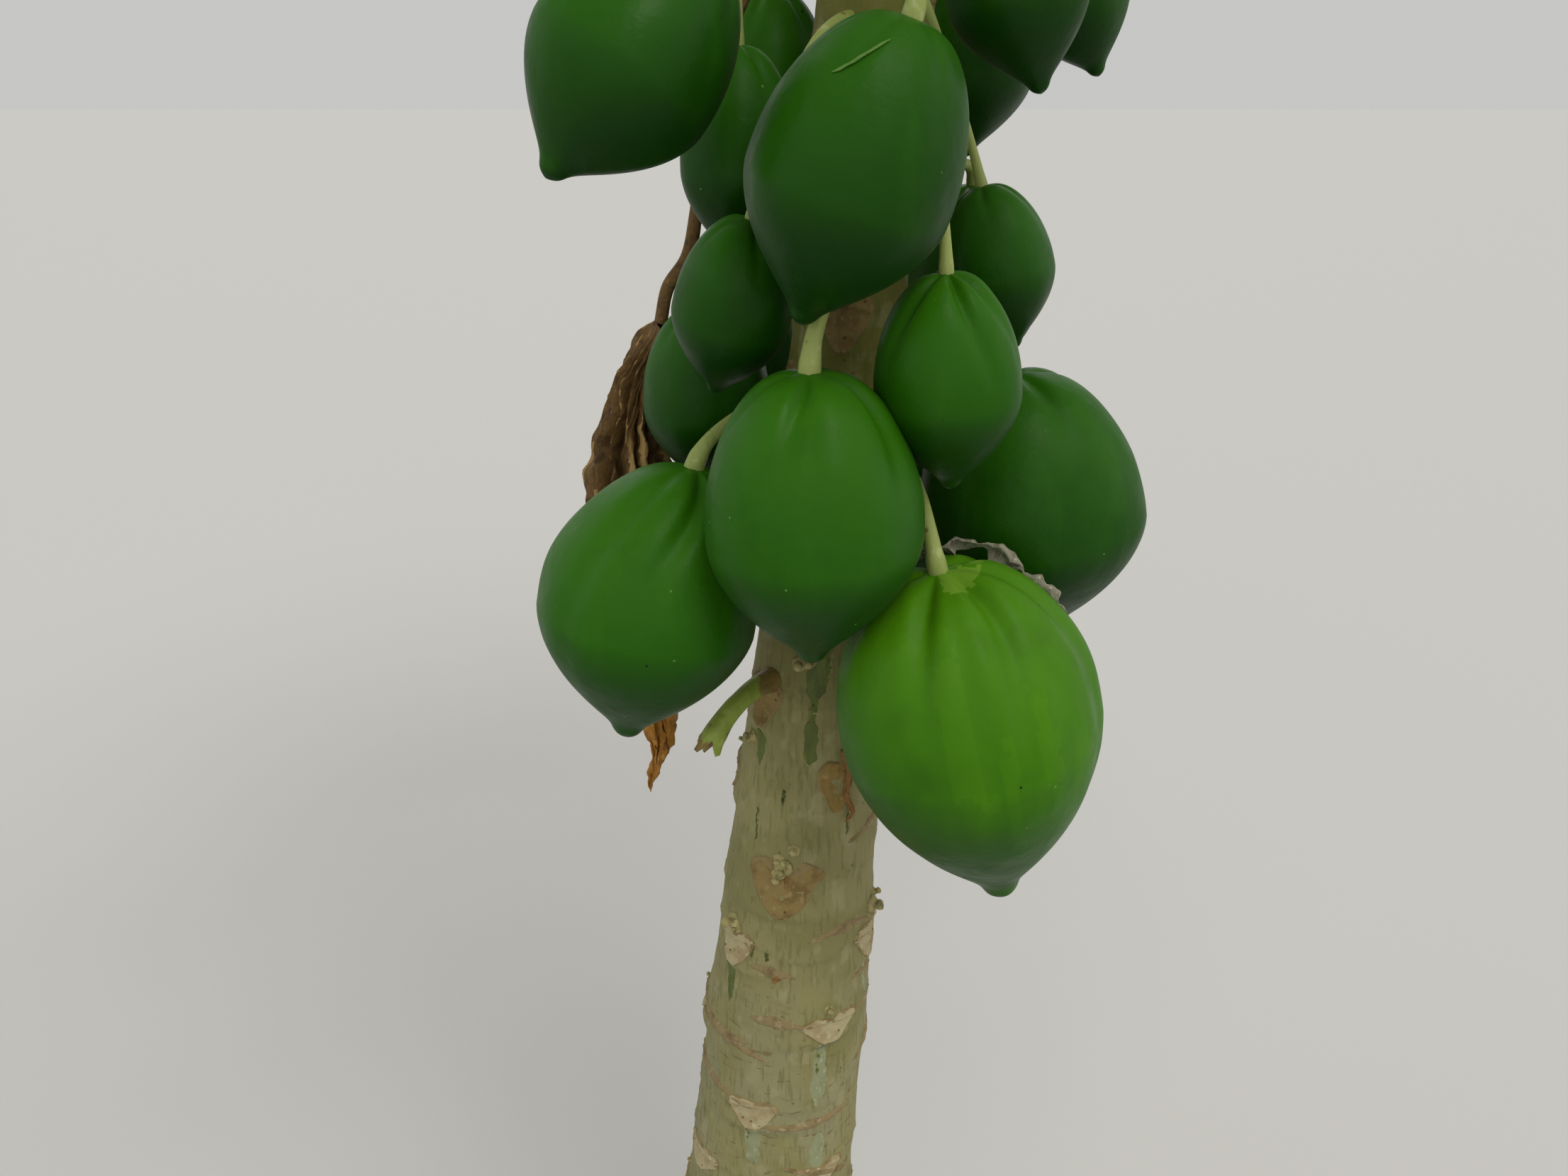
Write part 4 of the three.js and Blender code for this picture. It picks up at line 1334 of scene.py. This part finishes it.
INNER_ROWS = 6
SEGMENT_ROWS = 3
BLADE_COLUMNS = 4
EDGE_BULGE = 0.07
HALF_THICKNESS = 0.0003
RIB_POINTS = 12
RIB_RADIUS = 0.0066
RIB_OFF = -0.0006
VEIN_RADIUS = 0.0026
PETIOLE_POINTS = 30


def flat_way(degrees):
    """The direction at an angle in a blade's own plane, where 0 is the leaf's line."""
    turn = math.radians(degrees)
    return np.array([math.cos(turn), math.sin(turn)])


def lobe_side(lobe, way, corner, size, spread):
    """One side of a lobe, flat, as rows of points from its rib to its edge. Way is 1 on the left and -1 on
    the right."""
    angle, share, cut = lobe
    along_way = flat_way(angle)
    beside_way = way * np.array([-along_way[1], along_way[0]])
    ribs = [share * size * BAY_RIB * i / INNER_ROWS for i in range(INNER_ROWS + 1)]
    edges = [corner * i / INNER_ROWS for i in range(INNER_ROWS + 1)]
    for along, beside, rib in CUT_SIDE if cut else PLAIN_SIDE:
        start_edge = edges[-1]
        start_rib = ribs[-1]
        step = size * share * (along * along_way + spread * beside * beside_way) - start_edge
        bulge = EDGE_BULGE * np.array([step[1], -step[0]]) * way
        for i in range(1, SEGMENT_ROWS + 1):
            part = i / SEGMENT_ROWS
            edges.append(start_edge + step * part + bulge * math.sin(math.pi * part))
            ribs.append(start_rib + (share * size * rib - start_rib) * part)
    ribs = np.array(ribs)[:, None] * along_way
    return ribs[:, None] + (np.array(edges) - ribs)[:, None] * as_row(BLADE_COLUMNS + 1, 0)[..., None]


class LeafPlace:
    """Where a leaf's stalk ends and which way its blade lies."""

    def __init__(self, node):
        youth = (node - FIRST_LEAF) / (LAST_LEAF - FIRST_LEAF)
        sway = LEAF_SWAY * math.sin(node * node)
        bearing = node_bearing(node) + sway
        rise = math.radians(mix(PETIOLE_RISE, youth) + sway)
        pitch = math.radians(mix(BLADE_PITCH, youth**PITCH_EASE) - 2 * sway)
        length = mix(PETIOLE_LENGTH, youth**PETIOLE_EASE)
        away = outward(bearing)
        root = root_at(node)
        bend = root + tilted(away, rise + math.radians(PETIOLE_ARCH)) * length / 2
        self.end = root + tilted(away, rise) * length
        self.line = bezier([root, bend, self.end], PETIOLE_POINTS)
        self.node = node
        self.youth = youth
        self.size = mix(BLADE_SIZE, youth**SIZE_EASE)
        self.spread = mix(BLADE_SPREAD, youth**SPREAD_EASE)
        self.forward = tilted(away, pitch)
        self.across = outward(bearing + 90)
        self.normal = np.cross(self.forward, self.across)

    def lay(self, flat, edge, off=0.0):
        """Puts flat points of the blade's own plane in place. There the blade sags outwards, folds up beside
        its ribs, and waves a little."""
        x, y = flat[..., 0], flat[..., 1]
        sag = -BLADE_DROOP * (x * x + y * y) / self.size
        waves = rough(points_of(x, y, 0), 0.30 * self.size, self.node)
        z = sag + BLADE_LIFT * self.size * edge + 0.030 * self.size * waves * np.hypot(x, y) / self.size + off
        ahead = self.end + x[..., None] * self.forward
        return ahead + y[..., None] * self.across + z[..., None] * self.normal


def bay_between(one, other, size):
    return BAY * min(one[1], other[1]) * size * flat_way((one[0] + other[0]) / 2)


def add_blade(faces, backs, veins, leaf):
    """A blade's lobes from right to left, with their angles drawn together in a young leaf."""
    half = [(leaf.spread * angle, share, cut) for angle, share, cut in LOBES]
    fan = [(-angle, share, cut) for angle, share, cut in reversed(half[1:])] + half
    first, last = (BASE * leaf.size * flat_way(way * BASE_ANGLE) for way in (-1, 1))
    corners = [first, *[bay_between(a, b, leaf.size) for a, b in zip(fan, fan[1:])], last]
    for i, lobe in enumerate(fan):
        for way, corner in ((-1, corners[i]), (1, corners[i + 1])):
            flat = lobe_side(lobe, way, corner, leaf.size, leaf.spread)
            edge = np.broadcast_to(as_row(BLADE_COLUMNS + 1, 0), flat.shape[:2])
            faces.add_grid(leaf.lay(flat, edge, HALF_THICKNESS), flip=way < 0)
            backs.add_grid(leaf.lay(flat, edge, -HALF_THICKNESS), flip=way > 0)
            if lobe[2]:
                add_side_veins(veins, leaf, flat, edge)
        add_rib(veins, leaf, lobe)


def add_rib(veins, leaf, lobe):
    angle, share, _ = lobe
    line = leaf.lay(as_column(RIB_POINTS, 0, 0.97) * share * leaf.size * flat_way(angle), 0, RIB_OFF)
    radii = RIB_RADIUS * leaf.size * np.linspace(1, 0.16, RIB_POINTS) * math.sqrt(share)
    veins.add_limb(line, radii, 6)


def add_side_veins(veins, leaf, flat, edge):
    for vein in SIDE_VEINS:
        row = INNER_ROWS + SEGMENT_ROWS * (vein + 1)
        line = leaf.lay(flat[row], edge[row], -HALF_THICKNESS)
        veins.add_limb(line, VEIN_RADIUS * leaf.size * np.linspace(1, 0.35, len(line)), 4)


def make_leaves():
    leaves = [LeafPlace(node) for node in range(FIRST_LEAF, LAST_LEAF + 1)]
    faces = Pile()
    backs = Pile()
    veins = Pile()
    petioles = Pile()
    for leaf in leaves:
        add_blade(faces, backs, veins, leaf)
        share = np.linspace(0, 1, len(leaf.line))
        radii = mix(PETIOLE_RADIUS, share) * (1 - (1 - YOUNGEST_RADIUS) * leaf.youth)
        radii = radii * (1 + 0.45 * np.exp(-share / 0.03) + 0.25 * np.exp(-(1 - share) / 0.02))
        petioles.add_limb(leaf.line, radii, 14)
    faces.build("leaf_faces", ["leaf_face"], [f"leaf_{i + 1:02d}" for i in range(len(leaves))])
    backs.build("leaf_backs", ["leaf_back"])
    veins.build("leaf_veins", ["vein"])
    petioles.build("petioles", ["petiole"])


# The growing tip, and the blossom beside the youngest leaves.

TIP_COUNT = 5
TIP_LENGTH = 0.110
TIP_SHORTER = 0.12
TIP_SPREAD = 0.010
TIP_POINTS = 30
TIP_SIDES = 20
BLOSSOM_NODES = range(36, 50)
BUD_SWINGS = (-22, 0, 24)
BUD_POINTS = 12
BUD_RADIUS = 0.0045
BUD_STALK_POINTS = 8
BUD_STALK_RADIUS = 0.0016


def make_growing_tip():
    pile = Pile()
    root = trunk_centre(TRUNK_HEIGHT - SUNK)
    share = as_column(TIP_POINTS)
    for i in range(TIP_COUNT):
        tall = UP * TIP_LENGTH * (1 - TIP_SHORTER * i)
        end = root + tall + outward(360 * i / TIP_COUNT) * TIP_SPREAD
        line = bezier([root, root + tall / 2, end], TIP_POINTS)
        radii = 0.0030 * (1 - share) + 0.0075 * np.sin(np.pi * share) * share + 0.0004
        pleats = 1 + 0.16 * np.cos(7 * circle(TIP_SIDES)) * np.sin(np.pi * share)
        pile.add_limb(line, radii * pleats, TIP_SIDES)
    pile.build("furled_leaves", ["leaf_face"], ["growing_tip"])


def make_blossom():
    """Small waxy buds on short stalks in the angles of the younger leaves."""
    buds = Pile()
    dice = np.random.default_rng(5)
    share = np.linspace(0, 1, BUD_POINTS)
    for node in BLOSSOM_NODES:
        small = 1 - 0.5 * (node - BLOSSOM_NODES[0]) / len(BLOSSOM_NODES)
        for swing in BUD_SWINGS:
            root = root_at(node, 0.014, swing)
            away = outward(node_bearing(node) + swing)
            reach = dice.uniform(0.018, 0.030) * small + SUNK
            end = root + away * reach + UP * dice.uniform(0.0, 0.014)
            line = bezier([root, root + away * reach * 0.7, end], BUD_STALK_POINTS)
            buds.add_limb(line, [BUD_STALK_RADIUS] * BUD_STALK_POINTS, 6, 1)
            radii = BUD_RADIUS * small * np.sin(np.pi * np.clip(0.08 + 0.9 * share, 0, 1)) ** 0.8 + 0.0002
            buds.add_limb(bezier([end, end + away * 0.016 * small + UP * 0.010 * small], BUD_POINTS), radii)
    buds.build("blossom_buds", ["blossom", "petiole"])


make_trunk()
make_scars()
make_splits()
make_stubs()
make_fruits()
make_broken_stalk()
make_withered_leaf()
make_shred()
make_leaves()
make_growing_tip()
make_blossom()


# Camera, floor and soft light.

FLOOR_HALF = 30
FLOOR_TONE = (186.1, 185.2, 182.7)


def make_camera():
    data = bpy.data.cameras.new("camera")
    data.sensor_fit = "HORIZONTAL"
    data.sensor_width = SENSOR_MM
    data.lens = FOCAL_PIXELS / PHOTO_WIDTH * SENSOR_MM
    data.clip_start = 0.02
    camera = put("camera", data)
    camera.location = CAMERA_PLACE
    camera.rotation_euler = (math.radians(90 - CAMERA_DOWN), 0, 0)
    bpy.context.scene.camera = camera


def make_floor():
    mesh = bpy.data.meshes.new("floor")
    corners = [(x * FLOOR_HALF, y * FLOOR_HALF, 0) for x, y in ((-1, -1), (1, -1), (1, 1), (-1, 1))]
    mesh.from_pydata(corners, [], [(0, 1, 2, 3)])
    mesh.materials.append(Paint("floor", FLOOR_TONE, 0.9, Specular_IOR_Level=0.1).material)
    floor = put("floor", mesh)


# Soft suns all round: the bearing each shines from, its height above the horizon, its breadth, strength and
# tint.

SUNS = {
    "key": (300, 55, 30, 1.55, (1.0, 0.97, 0.90)),
    "front": (262, 18, 70, 0.48, (1.0, 0.98, 0.94)),
    "left": (185, 20, 60, 0.35, (0.92, 0.97, 1.0)),
    "right": (350, 20, 60, 0.45, (1.0, 0.96, 0.88)),
    "back": (90, 30, 60, 0.45, (0.96, 0.98, 1.0)),
}
WORLD_TINT = (0.98, 0.98, 0.96, 1)
WORLD_STRENGTH = 0.58


def make_light():
    world = bpy.data.worlds.new("world")
    world.use_nodes = True
    background = world.node_tree.nodes["Background"]
    background.inputs["Color"].default_value = WORLD_TINT
    background.inputs["Strength"].default_value = WORLD_STRENGTH
    bpy.context.scene.world = world
    for name, (bearing, height, breadth, strength, tint) in SUNS.items():
        data = bpy.data.lights.new(name, "SUN")
        data.angle = math.radians(breadth)
        data.energy = strength
        data.color = tint
        put(name, data).rotation_euler = (math.radians(90 - height), 0, math.radians(bearing + 90))


make_camera()
make_floor()
make_light()
bpy.context.scene.view_settings.view_transform = "Standard"
